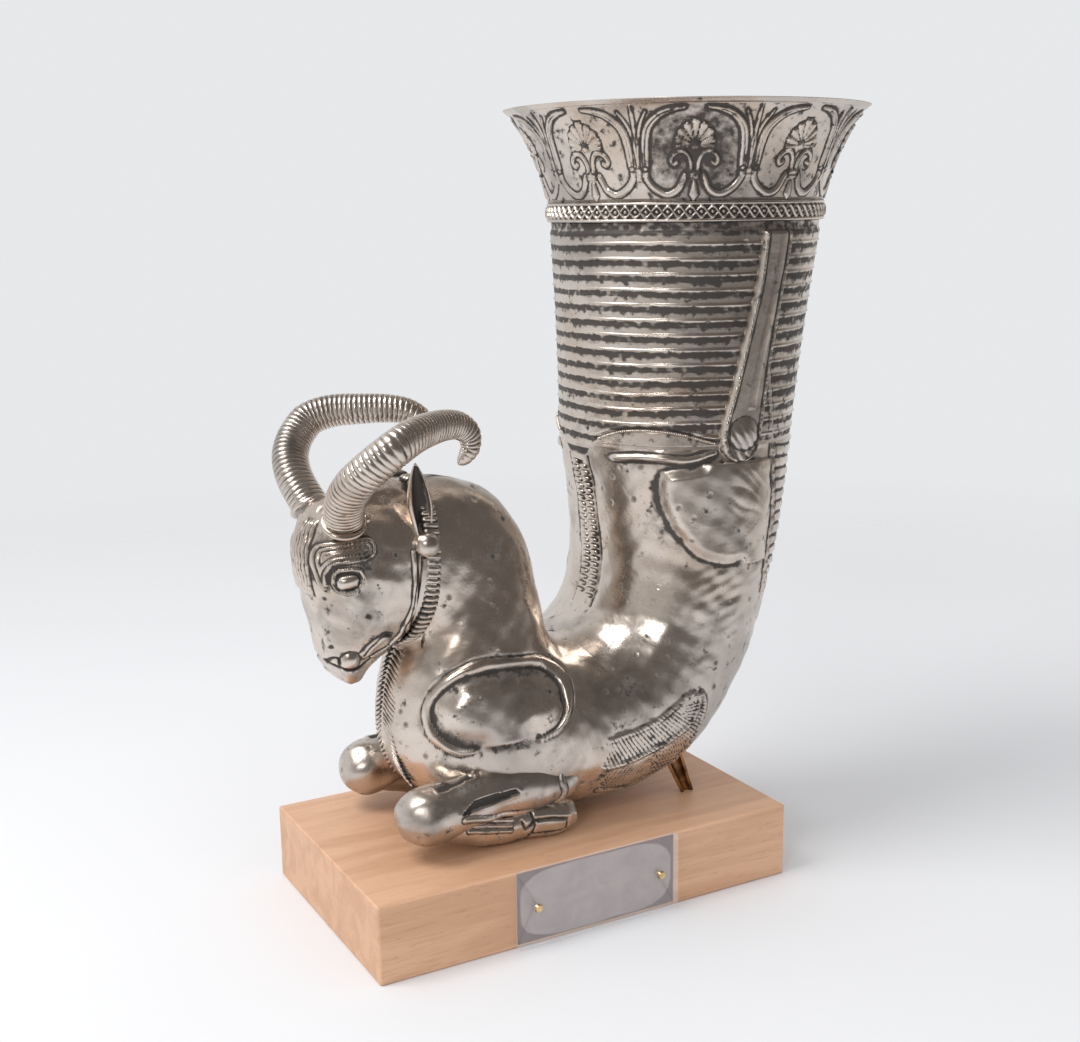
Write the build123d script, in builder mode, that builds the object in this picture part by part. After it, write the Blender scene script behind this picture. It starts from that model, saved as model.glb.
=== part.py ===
from build123d import *
from math import cos, pi, sin
import os

# A horn-shaped drinking cup that ends in the forepart of a kneeling wild goat,
# standing on a beech plinth with a small plaque. Millimetres, +Z up. The origin
# is on the underside of the plinth, at its middle in X and in the goat's own
# mid-plane in Y. The goat looks towards -X and its left side is towards -Y.

# Plinth
plinth_length = 178.0
plinth_width = 104.0
plinth_thickness = 30.0
plinth_forward = 5.0
plinth_edge = 0.6

# Plaque on the front of the plinth
plaque_length = 70.0
plaque_height = 29.4
plaque_lift = 0.9
cover_thickness = 2.7
card_thickness = 0.4
card_margin = 0.6
pin_inset_x = 8.0
pin_radius = 0.9
pin_head_radius = 1.7
pin_head_height = 0.9
pin_depth = 7.0
pin_head_taper = 25.0
pin_play = 0.1

# Sheet metal and seams
wall = 1.5
seam_play = 0.15

# Fluted beaker
beaker_foot_x = 72.4
beaker_lean = 4.4
beaker_height = 84.0
beaker_foot_radius = 47.2
beaker_top_radius = 54.2
beaker_flare_share = 0.40
beaker_sheet = 1.2
flute_count = 15
flute_depth = 1.0
flute_facets = 4
floor_thickness = 1.2

# Plaited collar and flared mouth
collar_height = 7.4
collar_stand = 0.7
collar_bead = 0.8
mouth_height = 35.6
mouth_radius = 72.2
mouth_sheet = 1.3
# Profile of the mouth from the collar up, as shares of its flare and height
mouth_profile_shares = [(0.040, 0.0), (0.200, 0.280), (0.460, 0.615), (0.760, 0.870), (1.0, 1.0)]

# The horn-shaped body below the beaker
body_length = 180.0
body_height = 148.0
body_width = 90.0
section_points = 16
round_fullness = 2.0
neck_count = 5
spans_per_loft = 3

# Each section of the body is an oval between a point on the inner line (back of
# the goat) and a point on the outer line (belly and chest): inner x, inner z,
# outer x, outer z and half width, with the exponent of the oval's roundness.
# x follows the body's length, z its height above the plinth, the half width
# its width.
hind_section_shares = [
    (0.160, 0.878, 0.636, 0.811, 0.524, 2.10),
    (0.173, 0.764, 0.604, 0.635, 0.516, 2.10),
    (0.176, 0.655, 0.562, 0.466, 0.509, 2.15),
    (0.161, 0.564, 0.503, 0.311, 0.500, 2.20),
    (0.122, 0.507, 0.422, 0.169, 0.496, 2.25),
    (0.072, 0.483, 0.311, 0.064, 0.491, 2.30),
]
fore_section_shares = [
    (0.047, 0.485, 0.144, 0.020, 0.484, 2.30),
    (0.036, 0.493, -0.056, 0.027, 0.467, 2.20),
    (0.030, 0.510, -0.200, 0.068, 0.433, 2.20),
    (0.027, 0.534, -0.300, 0.149, 0.398, 2.10),
    (0.024, 0.564, -0.337, 0.257, 0.369, 2.10),
    (0.021, 0.605, -0.338, 0.365, 0.344, 2.10),
    (0.014, 0.662, -0.321, 0.459, 0.320, 2.10),
    (-0.002, 0.743, -0.301, 0.512, 0.296, 2.10),
    (-0.038, 0.830, -0.298, 0.530, 0.278, 2.10),
    (-0.100, 0.904, -0.302, 0.536, 0.262, 2.10),
    (-0.185, 0.938, -0.310, 0.538, 0.251, 2.10),
    (-0.272, 0.949, -0.317, 0.536, 0.245, 2.10),
]

# Shoulder boss and haunch, domes raised on both flanks: half length, half
# depth and half height of each dome, and how far it stands out of the flank
boss_size = (27.0, 13.0, 20.0)
boss_rise = 2.0
boss_lift = 6.0
boss_section_count = 4
haunch_size = (24.0, 14.0, 23.0)
haunch_rise = 1.3
haunch_back = -5.0
haunch_drop = 8.0
haunch_section_count = 1

# Head, measured from the seam at the back of the jaw
head_length = 46.0
head_depth = 73.0
head_width = 44.0
# Sections of the head: brow-line x and z, jaw-line x and z, half width. The
# brow line is counted from the top of the seam and the jaw line from its foot.
head_section_shares = [
    (0.270, 0.002, 0.030, 0.034, 0.495, 2.10),
    (0.560, 0.030, 0.050, 0.045, 0.495, 2.10),
    (0.810, 0.105, 0.065, 0.055, 0.490, 2.10),
    (0.950, 0.240, 0.085, 0.065, 0.470, 2.10),
    (0.970, 0.375, 0.110, 0.080, 0.430, 2.10),
    (0.945, 0.510, 0.150, 0.100, 0.380, 2.10),
    (0.905, 0.635, 0.195, 0.125, 0.335, 2.10),
    (0.850, 0.770, 0.250, 0.150, 0.300, 2.10),
    (0.795, 0.880, 0.310, 0.185, 0.280, 2.20),
    (0.735, 0.950, 0.380, 0.205, 0.235, 2.20),
]

# Horns: each point of the centre line is counted from the horn's seat on the
# brow, back along the length, outwards by the spread and up by the rise
horn_seat_back = 31.0
horn_seat_out = 16.5
horn_seat_drop = 11.0
horn_reach = 46.0
horn_spread = 26.0
horn_rise = 34.0
horn_root_radius = 6.8
horn_point_shares = [
    (0.000, 0.000, 0.000, 1.00),
    (-0.050, 0.330, 0.260, 0.98),
    (-0.035, 0.610, 0.460, 0.96),
    (0.025, 0.800, 0.605, 0.95),
    (0.115, 0.940, 0.740, 0.94),
    (0.230, 1.000, 0.860, 0.92),
    (0.400, 0.865, 0.940, 0.87),
    (0.590, 0.615, 0.965, 0.82),
    (0.780, 0.405, 0.970, 0.76),
    (0.935, 0.250, 0.935, 0.70),
    (1.045, 0.175, 0.830, 0.63),
    (1.070, 0.135, 0.680, 0.55),
    (1.030, 0.130, 0.585, 0.46),
    (0.985, 0.130, 0.530, 0.30),
    (0.960, 0.130, 0.505, 0.10),
]
horn_socket_length = 12.0
horn_socket_rim = 0.9
rivet_radius = 1.8

# Ears
ear_height = 30.0
ear_half_width = 4.9
ear_half_thickness = 2.7
ear_cup_share = 0.76
ear_out = 20.5
ear_behind_seam = 1.5
ear_lean = 3.0
lobe_drop = 22.0
lobe_out = 22.5
lobe_radius = 4.8
# Half width of the ear from its root to its tip
ear_shares = [(0.0, 0.42), (0.20, 0.74), (0.48, 1.0), (0.74, 0.76), (0.92, 0.34), (1.0, 0.06)]

# Ribbed ruff round the back of the jaw
ruff_width = 6.0
ruff_rise = 1.7

# Folded forelegs
knee_x = -57.5
knee_out = 29.0
knee_lift = 16.8
leg_splay = 4.0
forearm_length = 64.0
forearm_radius = 10.0
forearm_lift = 22.0
cannon_length = 60.0
cannon_radius = 7.8
cannon_lift = 7.3
# Forearm and cannon from the knee back: how far along, how much of the change
# in height is done, and the radius. The forearm starts as the round knee.
forearm_shares = [
    (-0.168, 0.0, 0.18),
    (-0.150, 0.0, 0.56),
    (-0.105, 0.0, 0.88),
    (-0.030, 0.0, 1.11),
    (0.080, 0.1, 1.13),
    (0.300, 0.6, 1.04),
    (0.600, 1.0, 1.00),
    (0.850, 1.0, 0.86),
    (0.960, 1.0, 0.58),
    (1.000, 1.0, 0.20),
]
cannon_shares = [
    (-0.030, 0.05, 0.90),
    (0.150, 0.45, 1.02),
    (0.380, 0.85, 0.98),
    (0.680, 1.0, 0.88),
    (0.900, 1.0, 0.92),
    (1.000, 1.0, 0.66),
]

# Raised hind leg on each side of the beaker. Its outline in side view is
# counted from the middle of the beaker's foot, as shares of the foot radius
# and of the beaker's height
strap_rise = 2.4
strap_corner = 2.0
strap_play = 0.3
strap_places = (0.33, 0.66, 1.0)
strap_outline_shares = [
    (0.060, 0.965),
    (0.345, 0.965),
    (0.290, 0.655),
    (0.225, 0.380),
    (0.165, 0.070),
    (0.120, -0.035),
    (-0.050, -0.085),
    (-0.200, -0.035),
    (-0.225, 0.070),
    (-0.145, 0.260),
    (-0.045, 0.525),
    (0.025, 0.740),
]

# Rear prop, a gutter of thick sheet that narrows towards its foot
prop_x = 63.0
prop_out = 25.5
prop_height = 19.0
prop_lean = 8.0
prop_radius = 4.6
prop_foot_radius = 2.9
prop_sheet = 1.3

plinth_top = plinth_thickness
waist_z = plinth_top + body_height
beaker_top_z = waist_z + beaker_height
beaker_top_x = beaker_foot_x + beaker_lean


def body_section(shares):
    """One row of body shares as real sizes."""
    inner_x, inner_z, outer_x, outer_z, half_width, fullness = shares
    inner = Vector(inner_x * body_length, 0, plinth_top + inner_z * body_height)
    outer = Vector(outer_x * body_length, 0, plinth_top + outer_z * body_height)
    return inner, outer, half_width * body_width, fullness


def head_section(shares):
    """One row of head shares as real sizes, hung on the neck seam."""
    top, foot = neck_seam[0], neck_seam[1]
    brow_x, brow_drop, jaw_x, jaw_drop, half_width, fullness = shares
    brow = Vector(top.X - brow_x * head_length, 0, top.Z - brow_drop * head_depth)
    jaw = Vector(foot.X - jaw_x * head_length, 0, foot.Z - jaw_drop * head_depth)
    return brow, jaw, half_width * head_width, fullness


def rounded(value, fullness):
    """Signed root that turns a circle into an oval of the given fullness."""
    size = abs(value) ** (2 / fullness)
    return size if value > 0 else -size


def oval(section, growth):
    """Sketch of one section, on the plane through its two points and along Y."""
    inner, outer, half_width, fullness = section
    along = (outer - inner).normalized()
    half_depth = (outer - inner).length / 2 + growth
    half_width = half_width + growth
    plane = Plane(origin=(inner + outer) / 2, x_dir=along, z_dir=along.cross(Vector(0, 1, 0)))
    turns = [2 * pi * step / section_points for step in range(section_points)]
    edge = [
        (-half_depth * rounded(cos(turn), fullness), half_width * rounded(sin(turn), fullness))
        for turn in turns
    ]
    with BuildSketch(plane) as shape:
        with BuildLine():
            Spline(*edge, periodic=True)
        make_face()
    return shape.sketch


def disc(centre_x, height, radius):
    """Sketch of one level circle of the cup."""
    with BuildSketch(Plane(origin=(centre_x, 0, height))) as shape:
        Circle(radius)
    return shape.sketch


def runs(sections):
    """The row cut into short runs that share their end sections."""
    starts = range(0, len(sections) - 1, spans_per_loft)
    return [sections[start:start + spans_per_loft + 1] for start in starts]


def run_tube(run, growth):
    """Smooth solid through one short run of sections."""
    return loft([oval(section, growth) for section in run], mode=Mode.PRIVATE)


def dome(section, size, rise, shift_x, shift_z, side):
    """Flattened ball that stands out of the flank beside one section."""
    half_length, half_depth, half_height = size
    middle = (section[0] + section[1]) / 2
    place = Vector(middle.X + shift_x, side * (section[2] - half_depth + rise), middle.Z + shift_z)
    with BuildPart(mode=Mode.PRIVATE) as ball:
        Sphere(half_length)
        scale(by=(1, half_depth / half_length, half_height / half_length))
    return Pos(place) * ball.part


waist = (
    Vector(beaker_foot_x - beaker_foot_radius, 0, waist_z - floor_thickness),
    Vector(beaker_foot_x + beaker_foot_radius, 0, waist_z - floor_thickness),
    beaker_foot_radius,
    round_fullness,
)
hind_sections = [waist] + [body_section(shares) for shares in hind_section_shares]
fore_sections = hind_sections[-1:] + [body_section(shares) for shares in fore_section_shares]
neck_seam = fore_sections[-1]
head_sections = [neck_seam] + [head_section(shares) for shares in head_section_shares]


def write(piece, name):
    """Label a finished piece and write it to its own file."""
    piece.label = name
    export_step(piece, f"parts/{name}.step")


def write_pair(left, name):
    """Write the goat's left piece and its mirror image on the right side."""
    write(left, f"{name}_left")
    write(mirror(left, about=Plane.XZ, mode=Mode.PRIVATE), f"{name}_right")


os.makedirs("parts", exist_ok=True)

# Plinth, with holes for the two plaque pins
front_y = -plinth_forward - plinth_width / 2
front = Plane(origin=(0, front_y, plaque_lift + plaque_height / 2), x_dir=(1, 0, 0), z_dir=(0, -1, 0))
pin_spacing = plaque_length - 2 * pin_inset_x
plate_thickness = card_thickness + cover_thickness

with BuildPart() as plinth:
    with BuildSketch(Plane(origin=(0, -plinth_forward, 0))):
        Rectangle(plinth_length, plinth_width)
    extrude(amount=plinth_thickness)
    chamfer(plinth.edges(), length=plinth_edge)
    with BuildSketch(front):
        with GridLocations(pin_spacing, 0, 2, 1):
            Circle(pin_radius + pin_play)
    extrude(amount=-pin_depth - pin_play, mode=Mode.SUBTRACT)
write(plinth.part, "plinth")

# Plaque: a card behind a clear plate, held by two brass pins
with BuildPart() as plaque_card:
    with BuildSketch(front):
        Rectangle(plaque_length - 2 * card_margin, plaque_height - 2 * card_margin)
        with GridLocations(pin_spacing, 0, 2, 1):
            Circle(pin_radius + pin_play, mode=Mode.SUBTRACT)
    extrude(amount=card_thickness)
write(plaque_card.part, "plaque_card")

with BuildPart() as plaque_cover:
    with BuildSketch(front.offset(card_thickness)):
        Rectangle(plaque_length, plaque_height)
        with GridLocations(pin_spacing, 0, 2, 1):
            Circle(pin_radius + pin_play, mode=Mode.SUBTRACT)
    extrude(amount=cover_thickness)
write(plaque_cover.part, "plaque_cover")

with BuildPart() as plaque_pins:
    with BuildSketch(front.offset(-pin_depth)):
        with GridLocations(pin_spacing, 0, 2, 1):
            Circle(pin_radius)
    extrude(amount=pin_depth + plate_thickness)
    with BuildSketch(front.offset(plate_thickness)):
        with GridLocations(pin_spacing, 0, 2, 1):
            Circle(pin_head_radius)
    extrude(amount=pin_head_height, taper=pin_head_taper)
write(plaque_pins.part, "plaque_pins")

# Hindquarter: the bend of the horn, with a raised haunch on each flank
with BuildPart() as hindquarter_shell:
    for run in runs(hind_sections):
        add(run_tube(run, 0))
    for side in (-1, 1):
        add(dome(hind_sections[haunch_section_count], haunch_size, haunch_rise, haunch_back, -haunch_drop, side))
    for run in runs(hind_sections):
        add(run_tube(run, -wall), mode=Mode.SUBTRACT)
write(hindquarter_shell.part, "hindquarter_shell")

# Forequarter: belly, chest and neck, with a raised boss on each shoulder
with BuildPart() as forequarter_shell:
    for run in runs(fore_sections):
        add(run_tube(run, 0))
    for side in (-1, 1):
        add(dome(fore_sections[boss_section_count], boss_size, boss_rise, 0, boss_lift, side))
    for run in runs(fore_sections):
        add(run_tube(run, -wall), mode=Mode.SUBTRACT)
write(forequarter_shell.part, "forequarter_shell")

# Closing plate between the drinking cup and the hollow goat
with BuildPart() as cup_floor:
    add(disc(beaker_foot_x, waist_z - floor_thickness, beaker_foot_radius))
    extrude(amount=floor_thickness)
write(cup_floor.part, "cup_floor")


# Fluted beaker: level hollows between sharp ridges, on a slightly leaning axis
def beaker_size(place):
    """Middle and radius of the beaker at a place from its foot (0) to its top (1)."""
    spread = place * (1 - beaker_flare_share) + place ** 2 * beaker_flare_share
    radius = beaker_foot_radius + (beaker_top_radius - beaker_foot_radius) * spread
    return Vector(beaker_foot_x + beaker_lean * place, 0, waist_z + beaker_height * place), radius


def beaker_level(place, inset):
    """Sketch of the beaker's circle at one place."""
    middle, radius = beaker_size(place)
    return disc(middle.X, middle.Z, radius - inset)


def beaker_section(place):
    """The same circle as a section like those of the body."""
    middle, radius = beaker_size(place)
    half_length = Vector(radius, 0, 0)
    return middle - half_length, middle + half_length, radius, round_fullness


def beaker_solid(inset):
    """Plain solid of the beaker, without flutes, its side moved inwards."""
    levels = [beaker_level(step / spans_per_loft, inset) for step in range(spans_per_loft + 1)]
    return loft(levels, mode=Mode.PRIVATE)


flute_places = [step / flute_facets for step in range(flute_count * flute_facets + 1)]
fluted_levels = [
    beaker_level(place / flute_count, flute_depth * sin(pi * (place % 1)))
    for place in flute_places
]

with BuildPart() as fluted_beaker:
    add(loft(fluted_levels, ruled=True, mode=Mode.PRIVATE))
    add(beaker_solid(flute_depth + beaker_sheet), mode=Mode.SUBTRACT)
write(fluted_beaker.part, "fluted_beaker")

# Plaited collar: a plain band between two round beads
cup_axis = Axis((beaker_top_x, 0, beaker_top_z), (0, 0, 1))
cup_profile = Plane(origin=(beaker_top_x, 0, beaker_top_z), x_dir=(1, 0, 0), z_dir=(0, -1, 0))
collar_bore = beaker_top_radius - flute_depth - beaker_sheet
collar_radius = beaker_top_radius + collar_stand

with BuildPart() as plait_collar:
    with BuildSketch(cup_profile):
        with Locations((collar_bore, 0)):
            Rectangle(collar_radius - collar_bore, collar_height, align=(Align.MIN, Align.MIN))
        with Locations((collar_radius, collar_bead), (collar_radius, collar_height - collar_bead)):
            Circle(collar_bead)
    revolve(axis=cup_axis)
write(plait_collar.part, "plait_collar")

# Flared mouth: a thin sheet that opens like a trumpet
mouth_flare = mouth_radius - beaker_top_radius
flare_points = [
    (beaker_top_radius + out * mouth_flare, collar_height + up * mouth_height)
    for out, up in mouth_profile_shares
]

with BuildPart() as flared_rim:
    with BuildSketch(cup_profile):
        with BuildLine():
            outside = Spline(*flare_points)
            inside = Spline(*[(out - mouth_sheet, up) for out, up in flare_points])
            Line(outside @ 0, inside @ 0)
            Line(outside @ 1, inside @ 1)
        make_face()
    revolve(axis=cup_axis)
write(flared_rim.part, "flared_rim")

# Hind legs: raised straps that climb each side of the beaker
strap_sections = hind_sections[2::-1] + [beaker_section(place) for place in strap_places]
strap_outline = [
    (out * beaker_foot_radius, up * beaker_height)
    for out, up in strap_outline_shares
]

with BuildPart() as hind_leg:
    with BuildSketch(Plane(origin=(beaker_foot_x, 0, waist_z), x_dir=(1, 0, 0), z_dir=(0, -1, 0))) as strap:
        with BuildLine():
            Polyline(*strap_outline, close=True)
        make_face()
        fillet(strap.vertices(), radius=strap_corner)
    extrude(amount=beaker_top_radius + strap_rise)
    add(run_tube(strap_sections, strap_rise), mode=Mode.INTERSECT)
    add(run_tube(strap_sections, strap_play), mode=Mode.SUBTRACT)
write_pair(hind_leg.part, "hind_leg")


# Folded forelegs: a round knee, the forearm above and the cannon and hoof below
def leg_disc(along, length, lift, radius):
    """Circle across the leg, that far behind the knee."""
    out = knee_out + leg_splay * along
    place = Vector(knee_x + length * along, -out, plinth_top + lift)
    with BuildSketch(Plane(origin=place, z_dir=(1, 0, 0))) as ring:
        Circle(radius)
    return ring.sketch


def limb(shares, length, end_lift, thickness):
    """Smooth limb from the knee back, with its height and radius by shares."""
    rings = [
        leg_disc(along, length, knee_lift + (end_lift - knee_lift) * change, thickness * size)
        for along, change, size in shares
    ]
    with BuildPart() as leg:
        for run in runs(rings):
            add(loft(run, mode=Mode.PRIVATE))
    return leg.part


with BuildPart() as foreleg:
    add(limb(forearm_shares, forearm_length, forearm_lift, forearm_radius))
    add(limb(cannon_shares, cannon_length, cannon_lift, cannon_radius))
    for run in runs(fore_sections):
        add(run_tube(run, seam_play), mode=Mode.SUBTRACT)
    split(bisect_by=Plane.XY.offset(plinth_top), keep=Keep.TOP)
write_pair(foreleg.part, "foreleg")

# Horn sockets and the curved horns that stand on them
horn_seat = neck_seam[0] + Vector(-horn_seat_back, -horn_seat_out, -horn_seat_drop)
horn_points = [
    horn_seat + Vector(back * horn_reach, -out * horn_spread, up * horn_rise)
    for back, out, up, size in horn_point_shares
]
horn_last = len(horn_points) - 1
horn_side = (horn_points[horn_last // 2] - horn_points[0]).cross(horn_points[-1] - horn_points[0])


def horn_way(step):
    """Direction of the horn at one of its points, from the points beside it."""
    return (horn_points[min(step + 1, horn_last)] - horn_points[max(step - 1, 0)]).normalized()


def horn_disc(centre, way, radius):
    """Circle across the horn."""
    with BuildSketch(Plane(origin=centre, x_dir=horn_side.cross(way), z_dir=way)) as ring:
        Circle(radius)
    return ring.sketch


def horn_ring(step):
    """Circle across the horn at one of its points."""
    return horn_disc(horn_points[step], horn_way(step), horn_root_radius * horn_point_shares[step][3])


def horn_socket(growth):
    """Short round stub under the horn, from its seat down into the head."""
    top = horn_seat + horn_way(0) * growth
    with BuildPart() as stub:
        add(horn_disc(top, horn_way(0), horn_root_radius + horn_socket_rim + growth))
        extrude(amount=-horn_socket_length)
    return stub.part


def head_body(growth):
    """Outside of the head down to the flat end of its snout, grown all round."""
    with BuildPart() as head:
        for run in runs(head_sections):
            add(run_tube(run, growth))
    return head.part


with BuildPart() as head_shell:
    add(head_body(0))
    add(horn_socket(0))
    add(mirror(horn_socket(0), about=Plane.XZ, mode=Mode.PRIVATE))
    for run in runs(head_sections[:-1]):
        add(run_tube(run, -wall), mode=Mode.SUBTRACT)
write(head_shell.part, "head_shell")

with BuildPart() as horn:
    for run in runs(range(len(horn_points))):
        add(loft([horn_ring(step) for step in run], mode=Mode.PRIVATE))
write_pair(horn.part, "horn")

# A rivet head behind the foot of each horn
with BuildPart() as horn_rivets:
    rivet_place = horn_seat + Vector(horn_root_radius + horn_socket_rim + rivet_radius / 2, 0, 0)
    with Locations(rivet_place):
        Sphere(rivet_radius)
    add(head_body(seam_play), mode=Mode.SUBTRACT)
    add(horn_socket(seam_play), mode=Mode.SUBTRACT)
    mirror(about=Plane.XZ)
write(horn_rivets.part, "horn_rivets")


# Upright hollow ears, each on a round lobe at the side of the neck
def ear_leaf(size_share, shift):
    """Pointed leaf from the lobe up to the ear's tip."""
    rings = []
    for up, width in ear_shares:
        centre = ear_root + Vector(-ear_lean * up, shift, ear_height * up)
        with BuildSketch(Plane(origin=centre)) as ring:
            Ellipse(ear_half_width * width * size_share, ear_half_thickness * width * size_share)
        rings.append(ring.sketch)
    return loft(rings, mode=Mode.PRIVATE)


neck_way = (neck_seam[0] - neck_seam[1]).normalized()
lobe_place = neck_seam[0] - neck_way * lobe_drop + Vector(ear_behind_seam, -lobe_out, 0)
ear_root = Vector(lobe_place.X, -ear_out, lobe_place.Z)
neck_sections = fore_sections[-neck_count:]

with BuildPart() as ear:
    add(ear_leaf(1, 0))
    add(ear_leaf(ear_cup_share, -ear_half_thickness), mode=Mode.SUBTRACT)
    with Locations(lobe_place):
        Sphere(lobe_radius)
    add(run_tube(neck_sections, seam_play), mode=Mode.SUBTRACT)
    add(head_body(seam_play), mode=Mode.SUBTRACT)
write_pair(ear.part, "ear")

# Ribbed ruff that lies on the neck behind the jaw, from lobe to lobe
seam_way = Vector(0, 1, 0).cross(neck_way)

with BuildPart() as jaw_ruff:
    with BuildSketch(Plane(origin=(neck_seam[0] + neck_seam[1]) / 2, x_dir=neck_way, z_dir=seam_way)):
        Rectangle(2 * head_depth, 2 * head_width)
    extrude(amount=ruff_width)
    add(run_tube(neck_sections, ruff_rise), mode=Mode.INTERSECT)
    for run in runs(fore_sections):
        add(run_tube(run, seam_play), mode=Mode.SUBTRACT)
    split(bisect_by=Plane.XY.offset(lobe_place.Z - lobe_radius - seam_play), keep=Keep.BOTTOM)
write(jaw_ruff.part, "jaw_ruff")

# Rear prop: an upright gutter that carries the belly on the near side
with BuildPart() as rear_prop:
    foot = Plane(origin=(prop_x, -prop_out, plinth_top))
    head = Plane(origin=(prop_x - prop_lean, -prop_out, plinth_top + prop_height))
    for inset, mode in ((0, Mode.ADD), (prop_sheet, Mode.SUBTRACT)):
        with BuildSketch(foot) as foot_ring:
            Circle(prop_foot_radius - inset)
        with BuildSketch(head) as head_ring:
            Circle(prop_radius - inset)
        loft([foot_ring.sketch, head_ring.sketch], mode=mode)
    split(bisect_by=Plane(origin=(0, -prop_out, 0), z_dir=(0, 1, 0)), keep=Keep.TOP)
    for run in runs(hind_sections) + runs(fore_sections):
        add(run_tube(run, seam_play), mode=Mode.SUBTRACT)
write(rear_prop.part, "rear_prop")
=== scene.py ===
# A silver drinking cup that ends in a kneeling goat, on a beech plinth.
# The goat looks towards -X and its left side, towards -Y, faces the camera.
# Shapes are worked out in millimetres and written to the meshes in metres.
import bpy
import math
import numpy as np
from mathutils import Matrix, Vector


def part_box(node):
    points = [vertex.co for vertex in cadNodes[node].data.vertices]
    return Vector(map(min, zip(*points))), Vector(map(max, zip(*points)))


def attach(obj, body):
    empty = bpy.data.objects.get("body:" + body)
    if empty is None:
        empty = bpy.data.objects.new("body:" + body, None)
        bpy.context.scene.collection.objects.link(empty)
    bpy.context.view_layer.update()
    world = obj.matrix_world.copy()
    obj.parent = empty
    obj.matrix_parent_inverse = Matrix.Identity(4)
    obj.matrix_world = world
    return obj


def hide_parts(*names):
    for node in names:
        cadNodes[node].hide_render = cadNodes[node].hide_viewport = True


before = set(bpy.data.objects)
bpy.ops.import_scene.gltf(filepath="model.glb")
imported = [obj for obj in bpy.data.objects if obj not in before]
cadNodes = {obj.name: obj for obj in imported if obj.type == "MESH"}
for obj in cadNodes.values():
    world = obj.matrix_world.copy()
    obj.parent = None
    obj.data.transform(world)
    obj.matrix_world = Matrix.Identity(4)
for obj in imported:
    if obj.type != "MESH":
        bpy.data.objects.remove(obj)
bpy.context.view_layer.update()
mm = 0.001
print("frame loaded")


def cadBox(node):  # corners of a CAD node in millimetres
    low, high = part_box(node)
    return np.array(low) / mm, np.array(high) / mm


# Camera, seen from the goat's front left and a little above
camera = {
    "place": (-0.264568, -0.497537, 0.268912),
    "right": (0.87491, -0.48410, -0.01325),
    "up": (0.11345, 0.17829, 0.97741),
    "back": (-0.47081, -0.85665, 0.21091),
    "lens": 48.86,
    "sensor": 36.0,
}


def addCamera():
    data = bpy.data.cameras.new("camera")
    data.lens, data.sensor_width = camera["lens"], camera["sensor"]
    data.clip_start, data.clip_end = 0.01, 20
    thing = bpy.data.objects.new("camera", data)
    bpy.context.scene.collection.objects.link(thing)
    axes = [Vector(camera[way]) for way in ("right", "up", "back")]
    thing.matrix_world = Matrix.Translation(camera["place"]) @ Matrix(axes).transposed().to_4x4()
    bpy.context.scene.camera = thing


# Node trees
def node(tree, kind, **values):  # adds a node; sockets by name with _ for spaces
    new = tree.nodes.new(kind)
    for key, value in values.items():
        if hasattr(new, key):
            setattr(new, key, value)
        else:
            new.inputs[key.replace("_", " ")].default_value = value
    return new


def wire(tree, start, end):
    tree.links.new(start, end)


def ramp(tree, source, stops, smooth=False):  # colour ramp over a 0..1 value
    new = tree.nodes.new("ShaderNodeValToRGB")
    new.color_ramp.interpolation = "EASE" if smooth else "LINEAR"
    while len(new.color_ramp.elements) < len(stops):
        new.color_ramp.elements.new(0.5)
    for element, (place, colour) in zip(new.color_ramp.elements, stops):
        element.position = place
        element.color = colour if len(colour) == 4 else (*colour, 1)
    wire(tree, source, new.inputs["Fac"])
    return new.outputs["Color"]


def grey(value):
    return (value, value, value)


def maths(tree, operation, first, second=None, third=None, clamp=False):
    new = tree.nodes.new("ShaderNodeMath")
    new.operation, new.use_clamp = operation, clamp
    for socket, value in zip(new.inputs, (first, second, third)):
        if value is None:
            continue
        if isinstance(value, (int, float)):
            socket.default_value = value
        else:
            wire(tree, value, socket)
    return new.outputs[0]


def mixColour(tree, factor, first, second):
    new = tree.nodes.new("ShaderNodeMix")
    new.data_type = "RGBA"
    for socket, value in ((new.inputs[0], factor), (new.inputs[6], first), (new.inputs[7], second)):
        if isinstance(value, (int, float)):
            socket.default_value = value
        elif isinstance(value, tuple):
            socket.default_value = value if len(value) == 4 else (*value, 1)
        else:
            wire(tree, value, socket)
    return new.outputs[2]


def noise(tree, vector, scale, detail=4.0, roughness=0.5, distortion=0.0):
    new = tree.nodes.new("ShaderNodeTexNoise")
    new.inputs["Scale"].default_value = scale
    new.inputs["Detail"].default_value = detail
    new.inputs["Roughness"].default_value = roughness
    new.inputs["Distortion"].default_value = distortion
    wire(tree, vector, new.inputs["Vector"])
    return new.outputs["Fac"]


def newMaterial(name):
    material = bpy.data.materials.new(name)
    material.use_nodes = True
    tree = material.node_tree
    tree.nodes.clear()
    shader = tree.nodes.new("ShaderNodeBsdfPrincipled")
    out = tree.nodes.new("ShaderNodeOutputMaterial")
    wire(tree, shader.outputs[0], out.inputs["Surface"])
    place = tree.nodes.new("ShaderNodeTexCoord").outputs["Object"]
    return material, tree, shader, place


def bump(tree, height, strength, distance, before=None):
    new = tree.nodes.new("ShaderNodeBump")
    new.inputs["Strength"].default_value = strength
    new.inputs["Distance"].default_value = distance
    wire(tree, height, new.inputs["Height"])
    if before is not None:
        wire(tree, before, new.inputs["Normal"])
    return new.outputs["Normal"]


def stretched(tree, vector, scale):  # the same coordinates, scaled apart along each axis
    new = tree.nodes.new("ShaderNodeMapping")
    new.inputs["Scale"].default_value = scale
    wire(tree, vector, new.inputs["Vector"])
    return new.outputs["Vector"]


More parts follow.
